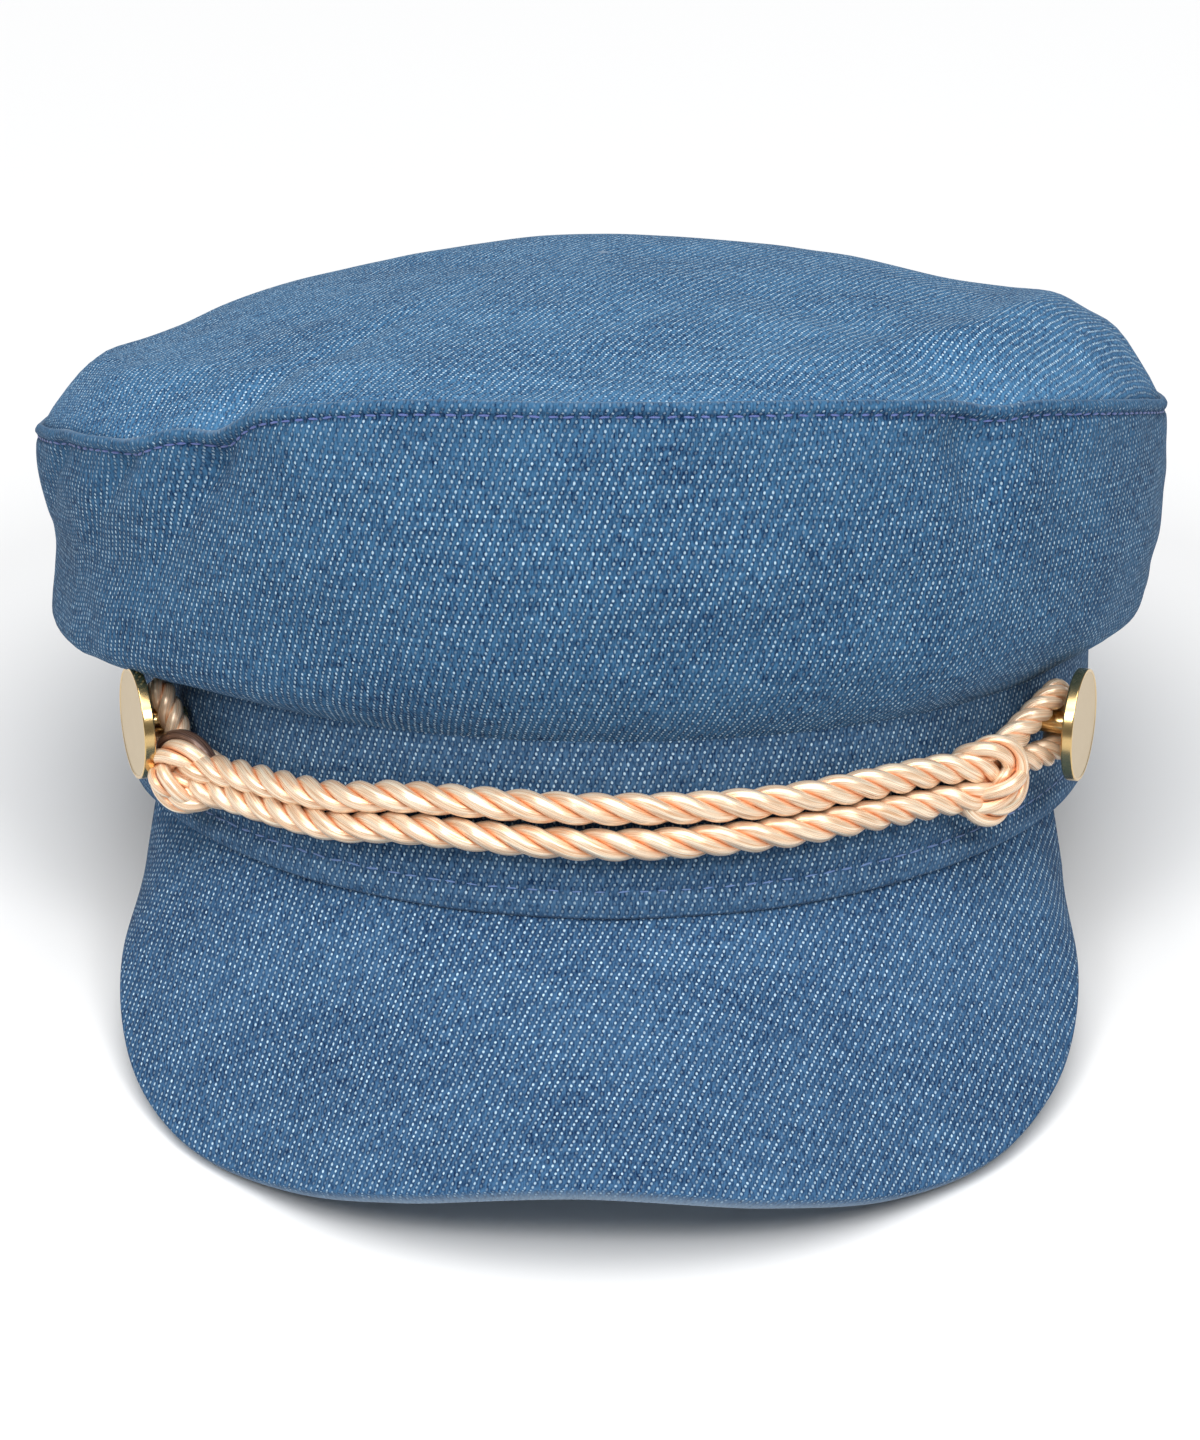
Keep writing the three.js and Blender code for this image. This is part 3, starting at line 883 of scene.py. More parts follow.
def denim(name, deep, pale, dots):
    """Blue denim between a deep and a pale dye. dots is how strongly the white weft shows."""
    material, bench, shader = new_finish(
        name, sheen_weight=0.02, sheen_roughness=0.5, specular_ior_level=0.08)
    place = bench.add("ShaderNodeSeparateXYZ", {}, {0: bench.add("ShaderNodeUVMap", {"uv_map": "cloth"})})
    across, along = place, place.other("Y")
    wobble = bench.noise(bench.vector(across / 4, along / 4)) - 0.5
    across = across + wobble * wander_across
    along = along + (bench.noise(bench.vector(across / 7, along / 3, 7)) - 0.5) * wander_along
    row = (along / weft_pitch).floor()
    in_row = along / weft_pitch - row
    step = across / dot_pitch - row / 4
    cell = step.floor()
    white_noise = bench.add(
        "ShaderNodeTexWhiteNoise", {"noise_dimensions": "2D"}, {"Vector": bench.vector(cell, row)})
    luck = white_noise.other("Value")
    shift = (luck - 0.5) * dot_wander
    wide = (step - cell - 0.5 + shift) * (dot_pitch / dot_half_width)
    high = (in_row - 0.5) * (weft_pitch / dot_half_height)
    dot = (1 - wide * wide - high * high).clamped() ** 0.5
    # A wide dark halo round each dot is painted shade, as in the hollow of the twill beside the dot.
    halo_shade = (1 - wide * wide * 0.2 - high * high * 0.3).clamped()
    patches = []
    for patch in unevenness_rows:
        spot = bench.vector(across / patch["across"], along / patch["along"], patch["seed"])
        patches.append(bench.noise(spot, patch["detail"]))
    streak, slub, _, fleck = patches
    # This mark lifts worn places and lowers the colour where shade is painted into the stitch grooves.
    worn_and_shaded = bench.add("ShaderNodeAttribute", {"attribute_name": "wear_and_shade"}).other("Fac")
    inside = bench.add("ShaderNodeAttribute", {"attribute_name": "inside"}).other("Fac")
    uneven = sum((patch - 0.5) * row["tone"] for patch, row in zip(patches, unevenness_rows))
    tone = (uneven - halo_shade * halo_shade_depth + plain_tone + worn_and_shaded * wear_and_shade_lift).clamped()
    blue = bench.blend(tone, dye(*deep), dye(*pale))
    strength = (0.2 + luck * 0.8) * (0.5 + slub) * dots
    strength = strength * (1 - worn_and_shaded.maths("ABSOLUTE", worn_and_shaded)).clamped()
    white = (dot * strength).clamped()
    front = bench.blend(white, blue, dye(202, 230, 248))
    back = bench.blend((dot * 0.75 + 0.1).clamped(), dye(150, 168, 186), dye(84, 110, 142))
    ridge = 0.5 - 0.5 * ((across / dot_pitch - along / (4 * weft_pitch) - 0.375) * (2 * math.pi)).cosine()
    yarn = 0.5 - 0.5 * (across * (2 * math.pi / warp_pitch)).cosine()
    height = ridge * 0.5 + yarn * 0.25 + dot * 0.35 + streak * 0.6 + fleck * 0.4
    bump = bench.add("ShaderNodeBump", {}, {"Strength": 0.6, "Distance": weave_relief * MM, "Height": height})
    feed(bench, shader, base_color=bench.blend(inside, front, back), normal=bump,
         roughness=(0.85 + (fleck - 0.5) * 0.2).clamped())
    return material


# Each panel's denim has its own dyes, set to how bright that panel looks under the light: the top's paler
# dyes are painted light from above, and the darker dyes of the side, band and peak are painted shade.
denim_top = denim("denim_top", (14, 50, 90), (78, 128, 169), 1.1)
denim_side = denim("denim_side", (12, 41, 76), (63, 107, 144), 0.8)
denim_band = denim("denim_band", (18, 46, 80), (70, 106, 141), 0.85)
denim_peak = denim("denim_peak", (12, 40, 75), (64, 102, 139), 0.85)
for piece, finish in (
    (top_cloth, denim_top),
    (side_cloth, denim_side),
    (band_cloth, denim_band),
    (peak_cloth, denim_peak),
):
    piece.data.materials.append(finish)
print("denim", len(denim_side.node_tree.nodes), "nodes")

# %% [markdown]
# ## Growing pieces with Geometry Nodes
#
# Stitches repeat along a line and rope plies follow one, which is what Geometry Nodes are for. A
# tree gets named inputs, the modifier's inputs are set by their identifiers, and the result is
# turned into a plain mesh so that nothing live is left on the piece.


# %% Trees and guides
def new_tree(name, **inputs):
    """A Geometry Nodes tree with a geometry input, one input for each named size, and their wires."""
    tree = bpy.data.node_groups.new(name, "GeometryNodeTree")
    tree.interface.new_socket("Geometry", in_out="INPUT", socket_type="NodeSocketGeometry")
    for label, kind in inputs.items():
        tree.interface.new_socket(label, in_out="INPUT", socket_type="NodeSocket" + kind)
    tree.interface.new_socket("Geometry", in_out="OUTPUT", socket_type="NodeSocketGeometry")
    bench = Bench(tree)
    start = bench.add("NodeGroupInput")
    return bench, [start.other(label) for label in ("Geometry", *inputs)]


def finish_tree(bench, geometry, material):
    """Ends a tree with real geometry that carries its material."""
    real = bench.add("GeometryNodeRealizeInstances", {}, {"Geometry": geometry})
    smooth = bench.add("GeometryNodeSetShadeSmooth", {}, {"Geometry": real})
    painted = bench.add("GeometryNodeSetMaterial", {}, {"Geometry": smooth, "Material": material})
    bench.add("NodeGroupOutput", {}, {0: painted})


def guide_lines(name, lines, closed=False, **marks):
    """Rows of points joined by edges. Each mark is a number or a direction kept on every point."""
    mesh = bpy.data.meshes.new(name)
    points, edges = np.concatenate(lines), []
    start = 0
    for line in lines:
        count = len(line)
        edges += [(start + k, start + (k + 1) % count) for k in range(count if closed else count - 1)]
        start += count
    mesh.from_pydata(points.tolist(), edges, [])
    for mark, values in marks.items():
        kind, field = ("FLOAT", "value") if values.ndim == 1 else ("FLOAT_VECTOR", "vector")
        mesh.attributes.new(mark, kind, "POINT").data.foreach_set(field, values.astype(np.float32).ravel())
    guide = bpy.data.objects.new(name, mesh)
    bpy.context.scene.collection.objects.link(guide)
    return guide


def grow(name, guide, tree, **sizes):
    """Runs a tree on a guide and gives back the result as a plain mesh object."""
    modifier = guide.modifiers.new("grow", "NODES")
    modifier.node_group = tree
    for item in tree.interface.items_tree:
        if item.in_out == "INPUT" and item.name in sizes:
            modifier[item.identifier] = sizes[item.name]
    graph = bpy.context.evaluated_depsgraph_get()
    mesh = bpy.data.meshes.new_from_object(
        guide.evaluated_get(graph), preserve_all_data_layers=True, depsgraph=graph)
    bpy.data.objects.remove(guide)
    piece = bpy.data.objects.new(name, mesh)
    bpy.context.scene.collection.objects.link(piece)
    print(name, len(mesh.polygons), "faces")
    return piece


# %% [markdown]
# ## Stitches
#
# A stitch is a grain of thread that lies between two holes. The tree puts one on each point of the
# stitch line, along the line and flat on the cloth, and a seeded random value makes each a little
# longer, shorter or askew, as a real machine and soft cloth do.

# %% The stitch tree
bench, (line, count, length, thickness, unevenness, seed, thread) = new_tree(
    "stitch_row", Count="Int", Length="Float", Thickness="Float", Unevenness="Float", Seed="Int",
    Thread="Material")
stitch_tree = bench.tree
curve = bench.add("GeometryNodeMeshToCurve", {}, {"Mesh": line})
spots = bench.add("GeometryNodeResampleCurve", {"mode": "COUNT"}, {"Curve": curve, "Count": count})
grain = bench.add("GeometryNodeMeshUVSphere", {}, {"Segments": 8, "Rings": 5, "Radius": 0.5})
tangent = bench.add("GeometryNodeInputTangent")
outward = bench.add("GeometryNodeInputNamedAttribute", {"data_type": "FLOAT_VECTOR"}, {"Name": "outward"})
along_line = bench.add("FunctionNodeAlignRotationToVector", {"axis": "X"}, {"Vector": tangent})
flat_on_cloth = bench.add(
    "FunctionNodeAlignRotationToVector", {"axis": "Z", "pivot_axis": "X"},
    {"Rotation": along_line, "Vector": outward})
askew = bench.add(
    "FunctionNodeRandomValue", {"data_type": "FLOAT_VECTOR"},
    {"Min": (0, -0.08, -0.12), "Max": (0, 0.08, 0.12), "Seed": seed})
turned = bench.add(
    "FunctionNodeRotateRotation", {"rotation_space": "LOCAL"},
    {"Rotation": flat_on_cloth, "Rotate By": bench.add("FunctionNodeEulerToRotation", {}, {0: askew})})
chance = bench.add(
    "FunctionNodeRandomValue", {"data_type": "FLOAT"}, {2: -1.0, 3: 1.0, "Seed": seed}, output=1)
size = bench.vector(length * (1 + chance * unevenness), thickness * (1 - chance * unevenness), thickness)
row = bench.add("GeometryNodeInstanceOnPoints", {}, {
    "Points": spots, "Instance": grain, "Rotation": turned, "Scale": size})
finish_tree(bench, row, thread)
print("stitch tree", len(stitch_tree.nodes), "nodes")


# %% Thread and the two rows
stitch_length_share = 0.92
stitch_unevenness = 0.12
lip_thread_width = 0.5
lip_thread_lift = 0.1
hem_thread_width = 0.38
hem_thread_lift = 0.05
fibres_per_metre = 2600.0


def thread_finish(name, shade, light):
    """Spun thread: fine grains of shade and light."""
    material, bench, shader = new_finish(name, roughness=0.6, sheen_weight=0.2)
    place = bench.add("ShaderNodeTexCoord", output=3)
    fibres = bench.add("ShaderNodeVectorMath", {"operation": "SCALE"}, {0: place, "Scale": fibres_per_metre})
    feed(bench, shader, base_color=bench.blend(bench.noise(fibres, 2), dye(*shade), dye(*light)))
    return material


lip_thread = thread_finish("lip_thread", (58, 74, 140), (112, 130, 190))
hem_thread = thread_finish("hem_thread", (70, 100, 156), (118, 146, 194))


def stitch_row(name, face, shares, count, pitch, thickness, lift, thread, seed):
    """A closed row of stitches on a face, lifted a little so that the thread shows."""
    headings = round_the_head[:-1]
    outward = face_normal(face, 1, headings, shares)
    points = to_frame(face(headings, shares) + outward * lift)
    tip = to_frame(face(headings, shares) + outward * (lift + 1))
    guide = guide_lines(name, [points], closed=True, outward=unit(tip - points))
    return grow(
        name, guide, stitch_tree, Count=count, Length=pitch * stitch_length_share * MM,
        Thickness=thickness * MM, Unevenness=stitch_unevenness, Seed=seed, Thread=thread)


headings = round_the_head[:-1]
lip_row = stitch_row(
    "lip_stitches", side_face, lip_share(headings, lip_stitch_drop), lip_stitches, lip_stitch_pitch,
    lip_thread_width, lip_thread_lift, lip_thread, seed=7)
hem_row = stitch_row(
    "hem_stitches", band_face, hem_stitch_rise / (band_height - rim_height(headings)), hem_stitches,
    hem_stitch_pitch, hem_thread_width, hem_thread_lift, hem_thread, seed=9)

# %% [markdown]
# ## The cord
#
# Two strands run side by side across the band. Each is three satin plies laid up to the right, which
# turn once in three to four cord thicknesses. The path of a strand starts behind one button, passes
# through both knots and ends behind the other button.

# %% Sizes and route of the cord
cord_thickness = 5.6
cord_clearance = 0.6
cord_standoff = cord_thickness / 2 + cord_clearance
button_clearance = 1.6
cord_channel = cord_clearance + cord_thickness + button_clearance
post_radius = 2.0
hook_clearance = 0.7
button_radius = 10.0
button_thickness = 2.0
button_height = 19.0
button_heading = 72
button_lean = math.radians(2)
# The length in which a ply turns once round the strand. Each ply's radius and its distance from the
# middle are shares of the cord's thickness, and so is the radius of the smooth loop.
cord_lead = 3.4 * cord_thickness
ply_count = 3
ply_radius_share = 0.25
ply_offset_share = 0.255
loop_radius_share = 0.28
cord_step = 0.6
# The legs at the buttons are twisted hard, the knots less so and the middle least. These lengths are
# measured from a strand's end, and each twist is added to that of the middle.
leg_length = 24
leg_twist = 0.9
knot_length = 65
knot_twist = 0.3
# The cord wound round the knots is drawn thin, and its plies lie a little more open.
winding_girth = 0.92
winding_twist = 0.9

# The solid's left knot sits about 3 mm higher. These rows follow the real cord more closely.
cord_rows = table(
    "heading height apart",
    (-38, 0.35, 0.43), (-22, 0.48, 0.5), (0, 0.46, 0.56), (21, 0.485, 0.5), (34, 0.55, 0.52),
)
buttons = table(
    "side name heading knot_heading knot_height knot_tall",
    (-1, "button_left", -56.5, -51.5, 0.43, 0.75), (1, "button_right", 55.5, 43.5, 0.52, 1),
)
# How a strand passes through a knot: shares of the cord's thickness toward the button, up for the
# upper strand, and off the band. The lower strand has its own rows.
upper_pass = table(
    "along up out", (-1.25, 0.5, 0.66), (-0.6, 0.46, 0.95), (0, 0.3, 1.0), (0.5, 0.25, 0.6))
lower_pass = table(
    "along up out", (-1.25, -0.5, 0.66), (-0.65, -0.46, 0.95), (-0.1, -0.32, 0.95), (0.45, -0.1, 0.5))
# The cord's own end: it winds round both strands in an open loop and tucks in behind itself.
wrap_rows = table(
    "along up out",
    (-0.55, 0.3, 0.3), (-0.62, 0.74, 0.75), (-0.2, 1.02, 1.25), (0.32, 0.88, 1.5), (0.7, 0.42, 1.55),
    (0.76, -0.15, 1.5), (0.52, -0.66, 1.4), (0.05, -0.98, 1.3), (-0.42, -0.98, 1.05), (-0.66, -0.65, 0.6),
    (-0.55, -0.3, 0.25),
)
bar_rows = table(
    "along up out",
    (-0.4, -0.8, 0.9), (-0.12, -0.4, 1.5), (0.25, -0.02, 1.75), (0.6, 0.1, 1.45), (0.8, 0.05, 0.8),
)
# A smooth loop of satin, without plies, that lies behind the top of the left knot. Its satin is
# coloured in painted shade.
loop_rows = table(
    "along up out",
    (1.0, 0.7, 1.2), (0.86, 1.2, 1.2), (0.25, 1.56, 1.05), (-0.36, 1.4, 0.85), (-0.66, 0.92, 0.68),
    (-0.66, 0.3, 0.5),
)
# The cord round a post is drawn thin, and it sits a little nearer the disc than the solid does.
hook_girth = 0.87
hook_shift = 0.8


def post_frame(button):
    """Foot, axis, rise and back of a button's post, as in the solid."""
    level = level_direction(button["side"] * button_heading)
    up = np.array([0, 0, 1.0])
    axis = level * math.cos(button_lean) - up * math.sin(button_lean)
    rise = up * math.cos(button_lean) + level * math.sin(button_lean)
    back = level_direction(button["side"] * (button_heading + 90))
    heading = np.float64(button["heading"])
    skew = np.linalg.norm(np.cross(axis, band_outward(heading)))
    foot = band_point(heading, seam_gap + post_radius * skew, button_height)
    return foot, axis, rise, back


def hook_points(button, layer):
    """Half of the cord's turn round a post, from behind it to the top or the bottom."""
    foot, axis, rise, back = post_frame(button)
    middle = foot + axis * (cord_clearance + cord_thickness / 2 + hook_shift)
    bend = post_radius + hook_clearance + hook_girth * cord_thickness / 2
    angles = np.radians(np.linspace(105, 0, 5))
    return [middle + rise * layer * bend * math.cos(a) + back * bend * math.sin(a) for a in angles]


def knot_points(button, rows):
    """Rows of a knot's table as points of the hat."""
    heading = np.float64(button["knot_heading"])
    centre = band_point(heading, 0.0, button["knot_height"] * band_height)
    outward = band_outward(heading)
    along = np.cross(outward, [0, 0, 1.0]) * -button["side"]
    up = np.array([0, 0, button["knot_tall"]])
    shifts = [row["along"] * along + row["out"] * outward + row["up"] * up for row in rows]
    return [centre + cord_thickness * shift for shift in shifts]


def smooth_route(points, spacing=0.4):
    """A smooth curve through the points, as even steps."""
    points = np.array(points)
    padded = np.concatenate([2 * points[:1] - points[1:2], points, 2 * points[-1:] - points[-2:-1]])
    knots = np.concatenate([[0], np.cumsum(np.linalg.norm(np.diff(padded, axis=0), axis=1) ** 0.5)])
    route = []
    for k in range(1, len(padded) - 2):
        t = np.linspace(knots[k], knots[k + 1], 24, endpoint=False)[:, None]
        a, b, c, d = padded[k - 1 : k + 3]
        ta, tb, tc, td = knots[k - 1 : k + 3]
        ab = (a * (tb - t) + b * (t - ta)) / (tb - ta)
        bc = (b * (tc - t) + c * (t - tb)) / (tc - tb)
        cd = (c * (td - t) + d * (t - tc)) / (td - tc)
        abc = (ab * (tc - t) + bc * (t - ta)) / (tc - ta)
        bcd = (bc * (td - t) + cd * (t - tb)) / (td - tb)
        route.append((abc * (tc - t) + bcd * (t - tb)) / (tc - tb))
    route = np.concatenate([*route, points[-1:]])
    run = run_length(route)
    even = np.linspace(0, run[-1], round(run[-1] / spacing) + 1)
    return np.stack([np.interp(even, run, route[:, axis]) for axis in range(3)], -1)


def strand_route(layer):
    """The upper strand with layer 1 and the lower with layer -1, from post to post."""
    left, right = buttons
    passing = upper_pass if layer > 0 else lower_pass
    headings = np.linspace(cord_rows[0]["heading"], cord_rows[-1]["heading"], 11)[1:-1]
    height = band_height * read_table(cord_rows, "heading", "height", headings)
    apart = cord_thickness * read_table(cord_rows, "heading", "apart", headings)
    run = list(band_point(headings, cord_standoff + 0 * headings, height + layer * apart))
    return smooth_route([
        *hook_points(left, layer), *knot_points(left, passing)[::-1], *run,
        *knot_points(right, passing), *hook_points(right, layer)[::-1]])


def laid_turns(route, pace):
    """Turns that the plies have made at each point. pace is how much faster they turn than in the run."""
    speed = pace / cord_lead
    return np.concatenate([[0], np.cumsum(np.diff(run_length(route)) * (speed[1:] + speed[:-1]) / 2)])


def near_ends(route, length):
    """1 at both ends of a strand, falling to 0 over a length."""
    run = run_length(route)
    return bell(np.minimum(run, run[-1] - run), length)


strands = [strand_route(layer) for layer in (1, -1)]
windings = [smooth_route(knot_points(button, rows)) for button in buttons for rows in (wrap_rows, bar_rows)]
cord_turns, cord_girth = [], []
for strand in strands:
    leg = near_ends(strand, leg_length)
    cord_turns.append(laid_turns(strand, 1 + leg_twist * leg + knot_twist * near_ends(strand, knot_length)))
    cord_girth.append(1 - (1 - hook_girth) * leg)
for winding in windings:
    cord_turns.append(laid_turns(winding, winding_twist + 0 * winding[:, 0]))
    cord_girth.append(winding_girth + 0 * winding[:, 0])
for strand in strands:
    print("strand", round(run_length(strand)[-1]), "mm long")

# %% [markdown]
# ## Satin plies
#
# The rope tree lays three plies round each route. A ply's centre turns round the route by the turns
# kept on the guide, and a round profile is swept along it at the guide's girth. The tree stores how
# far along the cord each point is, where it is round the ply, and the middle of the strand, for the
# silk lines and the depth of the grooves in the finish. With one ply it makes a smooth tube.

# %% The rope tree
def laid_rope_tree(name, plies):
    """A tree that lays plies round each guide line and sweeps a round profile along them."""
    bench, (line, ply_radius, ply_offset, step, satin) = new_tree(
        name, PlyRadius="Float", PlyOffset="Float", Step="Float", Satin="Material")
    curve = bench.add("GeometryNodeMeshToCurve", {}, {"Mesh": line})
    curve = bench.add("GeometryNodeResampleCurve", {"mode": "LENGTH"}, {"Curve": curve, "Length": step})
    along = bench.add("GeometryNodeSplineParameter", output=1)
    curve = bench.add("GeometryNodeStoreNamedAttribute", {"data_type": "FLOAT"}, {
        "Geometry": curve, "Name": "along", "Value": along})
    curve = bench.add("GeometryNodeStoreNamedAttribute", {"data_type": "FLOAT_VECTOR"}, {
        "Geometry": curve, "Name": "core", "Value": bench.add("GeometryNodeInputPosition")})
    circle = bench.add("GeometryNodeCurvePrimitiveCircle", {"mode": "RADIUS"}, {
        "Resolution": 16, "Radius": ply_radius})
    around = bench.add("ShaderNodeVectorMath", {"operation": "NORMALIZE"}, {
        0: bench.add("GeometryNodeInputPosition")})
    circle = bench.add("GeometryNodeStoreNamedAttribute", {"data_type": "FLOAT_VECTOR"}, {
        "Geometry": circle, "Name": "around", "Value": around})
    normal = bench.add("GeometryNodeInputNormal")
    side = bench.add("ShaderNodeVectorMath", {"operation": "CROSS_PRODUCT"}, {
        0: bench.add("GeometryNodeInputTangent"), 1: normal})
    turns = bench.add("GeometryNodeInputNamedAttribute", {"data_type": "FLOAT"}, {"Name": "turns"})
    girth = bench.add("GeometryNodeInputNamedAttribute", {"data_type": "FLOAT"}, {"Name": "girth"})
    joined = bench.add("GeometryNodeJoinGeometry")
    for ply in range(plies):
        turn = (turns + ply / plies) * (2 * math.pi)
        swing = bench.add("ShaderNodeVectorMath", {"operation": "SCALE"}, {
            0: normal, "Scale": turn.cosine() * ply_offset * girth})
        sway = bench.add("ShaderNodeVectorMath", {"operation": "SCALE"}, {
            0: side, "Scale": turn.sine() * ply_offset * girth})
        offset = bench.add("ShaderNodeVectorMath", {"operation": "ADD"}, {0: swing, 1: sway})
        path = bench.add("GeometryNodeSetPosition", {}, {"Geometry": curve, "Offset": offset})
        swept = bench.add("GeometryNodeCurveToMesh", {}, {
            "Curve": path, "Profile Curve": circle, "Scale": girth, "Fill Caps": True})
        bench.tree.links.new(swept.socket, joined.socket.node.inputs[0])
    core = bench.add("GeometryNodeInputNamedAttribute", {"data_type": "FLOAT_VECTOR"}, {"Name": "core"})
    depth = bench.add("ShaderNodeVectorMath", {"operation": "DISTANCE"}, {
        0: bench.add("GeometryNodeInputPosition"), 1: core}, output=1)
    marked = bench.add("GeometryNodeStoreNamedAttribute", {"data_type": "FLOAT"}, {
        "Geometry": joined, "Name": "reach", "Value": depth / ((ply_radius + ply_offset) * girth)})
    finish_tree(bench, marked, satin)
    return bench.tree


rope_tree = laid_rope_tree("laid_rope", ply_count)
loop_tree = laid_rope_tree("smooth_loop", 1)
print("rope tree", len(rope_tree.nodes), "nodes")

# %% [markdown]
# ## Satin
#
# The plies are wound from shiny yarn. Each filament is far finer than a pixel, but together they
# stretch the highlight across the ply. Fine lines in the bump that run with the yarn do that.
# Noise that follows the yarn varies its colour in streaks between a shade and a near-white light
# dye, which paint the satin's sheen and shade over the yarn's own unevenness. Beside and inside the
# grooves between plies the colour is painted a deeper orange as shade, standing in for light that
# bounces from yarn to yarn there.


# %% The satin finish
# Noise that follows the yarn; its streaks are partly the yarn's own unevenness and partly painted
# sheen and shade. round is its scale round the ply, along its scale in each metre of cord, and tone
# how far it moves the colour between the shade and the light dye.
silk_sheen_rows = table("round along detail tone", (6, 120, 2, 2.2), (1.5, 240, 2, 0.7), (22, 200, 1, 0.5))
# Shares of the strand's radius below which the flank of a ply takes a warm painted shade and its
# groove a deep painted shade.
warm_shade_reach = 0.86
groove_shade_reach = 0.64
# Fine yarns in each ply: how many go round it and how fast they turn along it, in radians a metre.
yarns_round = 7
yarn_turn = 420
# The plain tone of the yarn between the shade and the light dye, where the painted sheen streaks start.
plain_silk_sheen = 0.66
yarn_shade = 0.25
silk_relief = 0.14


def satin_finish(name, shade, light, warm_shade, deep):
    """Silk yarn between a shade and a light dye in streaks of painted sheen and shade, with warm painted
    shade beside the grooves and deep painted shade inside them.
    """
    material, bench, shader = new_finish(name, specular_ior_level=0.8)
    around = bench.add("ShaderNodeAttribute", {"attribute_name": "around"}, output=1)
    along = bench.add("ShaderNodeAttribute", {"attribute_name": "along"}).other("Fac")
    reach = bench.add("ShaderNodeAttribute", {"attribute_name": "reach"}).other("Fac")
    parts = bench.add("ShaderNodeSeparateXYZ", {}, {0: around})
    x, y = parts, parts.other("Y")
    noises = [
        bench.noise(bench.vector(x * row["round"], y * row["round"], along * row["along"]), row["detail"])
        for row in silk_sheen_rows]
    silk_sheen, patch, fine = noises
    yarns = 0.5 + 0.5 * (y.maths("ARCTAN2", y, x) * yarns_round + along * yarn_turn).cosine()
    # Painted shade: warm on the flank of a ply near a groove, deep orange inside the groove.
    slope = ((warm_shade_reach - reach) * 5).clamped()
    groove = ((groove_shade_reach - reach) * 11).clamped()
    uneven = sum((noise - 0.5) * row["tone"] for noise, row in zip(noises, silk_sheen_rows))
    tone = (plain_silk_sheen + uneven - (1 - yarns) * yarn_shade).clamped()
    # The streaky tone between the shade and light dyes paints the satin's sheen and shade over the yarn's own
    # unevenness.
    yarn = bench.blend(tone, dye(*shade), dye(*light))
    colour = bench.blend(groove, bench.blend(slope * 0.8, yarn, dye(*warm_shade)), dye(*deep))
    bump = bench.add("ShaderNodeBump", {}, {
        "Strength": 0.6, "Distance": silk_relief * MM, "Height": silk_sheen * 0.5 + fine * 0.3 + yarns * 0.5})
    feed(bench, shader, base_color=colour, normal=bump, metallic=0.35 - groove * 0.3,
         roughness=(0.28 + (fine - 0.5) * 0.15).clamped())
    return material


# The near-white light dye is painted highlight; the warm and deep dyes are painted shade by the grooves.
satin = satin_finish("satin_cord", (226, 174, 130), (255, 240, 214), (236, 156, 98), (128, 56, 22))
# The loop's satin is a dark copy of the cord's: painted shade, since the loop turns away from the light.
shaded_satin = satin_finish("shaded_satin_loop", (62, 44, 38), (126, 96, 80), (90, 64, 52), (50, 34, 28))
cord_guide = guide_lines(
    "cord_route", [to_frame(route) for route in (*strands, *windings)],
    turns=np.concatenate(cord_turns), girth=np.concatenate(cord_girth))
rope = grow(
    "twisted_cord", cord_guide, rope_tree, PlyRadius=ply_radius_share * cord_thickness * MM,
    PlyOffset=ply_offset_share * cord_thickness * MM, Step=cord_step * MM, Satin=satin)
loop = smooth_route(knot_points(buttons[0], loop_rows))
loop_guide = guide_lines("loop_route", [to_frame(loop)], turns=0 * loop[:, 0], girth=1 + 0 * loop[:, 0])
shaded_satin_loop = grow(
    "shaded_satin_loop", loop_guide, loop_tree, PlyRadius=loop_radius_share * cord_thickness * MM,
    PlyOffset=0.0, Step=cord_step * MM, Satin=shaded_satin)

# %% [markdown]
# ## The buttons
#
# Each button is a turned disc on a post, so its shape is one outline spun round the axis. Every
# corner of the outline is rounded, because a real edge catches a thin line of light. The face sits
# a hair below a polished rim.

# %% Turned buttons
rim_width = 0.5
rim_slope = 0.1
face_drop = 0.12
edge_radius = 0.3
button_top = cord_channel + button_thickness
face_radius = button_radius - rim_width - rim_slope
button_outline = [
    (0, 0), (post_radius, 0), (post_radius, cord_channel), (button_radius, cord_channel),
    (button_radius, button_top), (button_radius - rim_width, button_top),
    (face_radius, button_top - face_drop), (0, button_top - face_drop),
]


def rounded_outline(corners, radius):
    """The outline with a small arc at each corner and a point beside it that keeps the flats flat."""
    corners = np.array(corners, float)
    outline = [corners[0]]
    for before, corner, after in zip(corners, corners[1:], corners[2:]):
        to_before, to_after = before - corner, after - corner
        room = min(radius, 0.4 * np.linalg.norm(to_before), 0.4 * np.linalg.norm(to_after))
        start, end = corner + unit(to_before) * room, corner + unit(to_after) * room
        outline.append(corner + unit(to_before) * room * 1.2)
        for t in np.linspace(0, 1, 5):
            outline.append(start * (1 - t) ** 2 + corner * 2 * t * (1 - t) + end * t**2)
        outline.append(corner + unit(to_after) * room * 1.2)
    return np.array([*outline, corners[-1]])


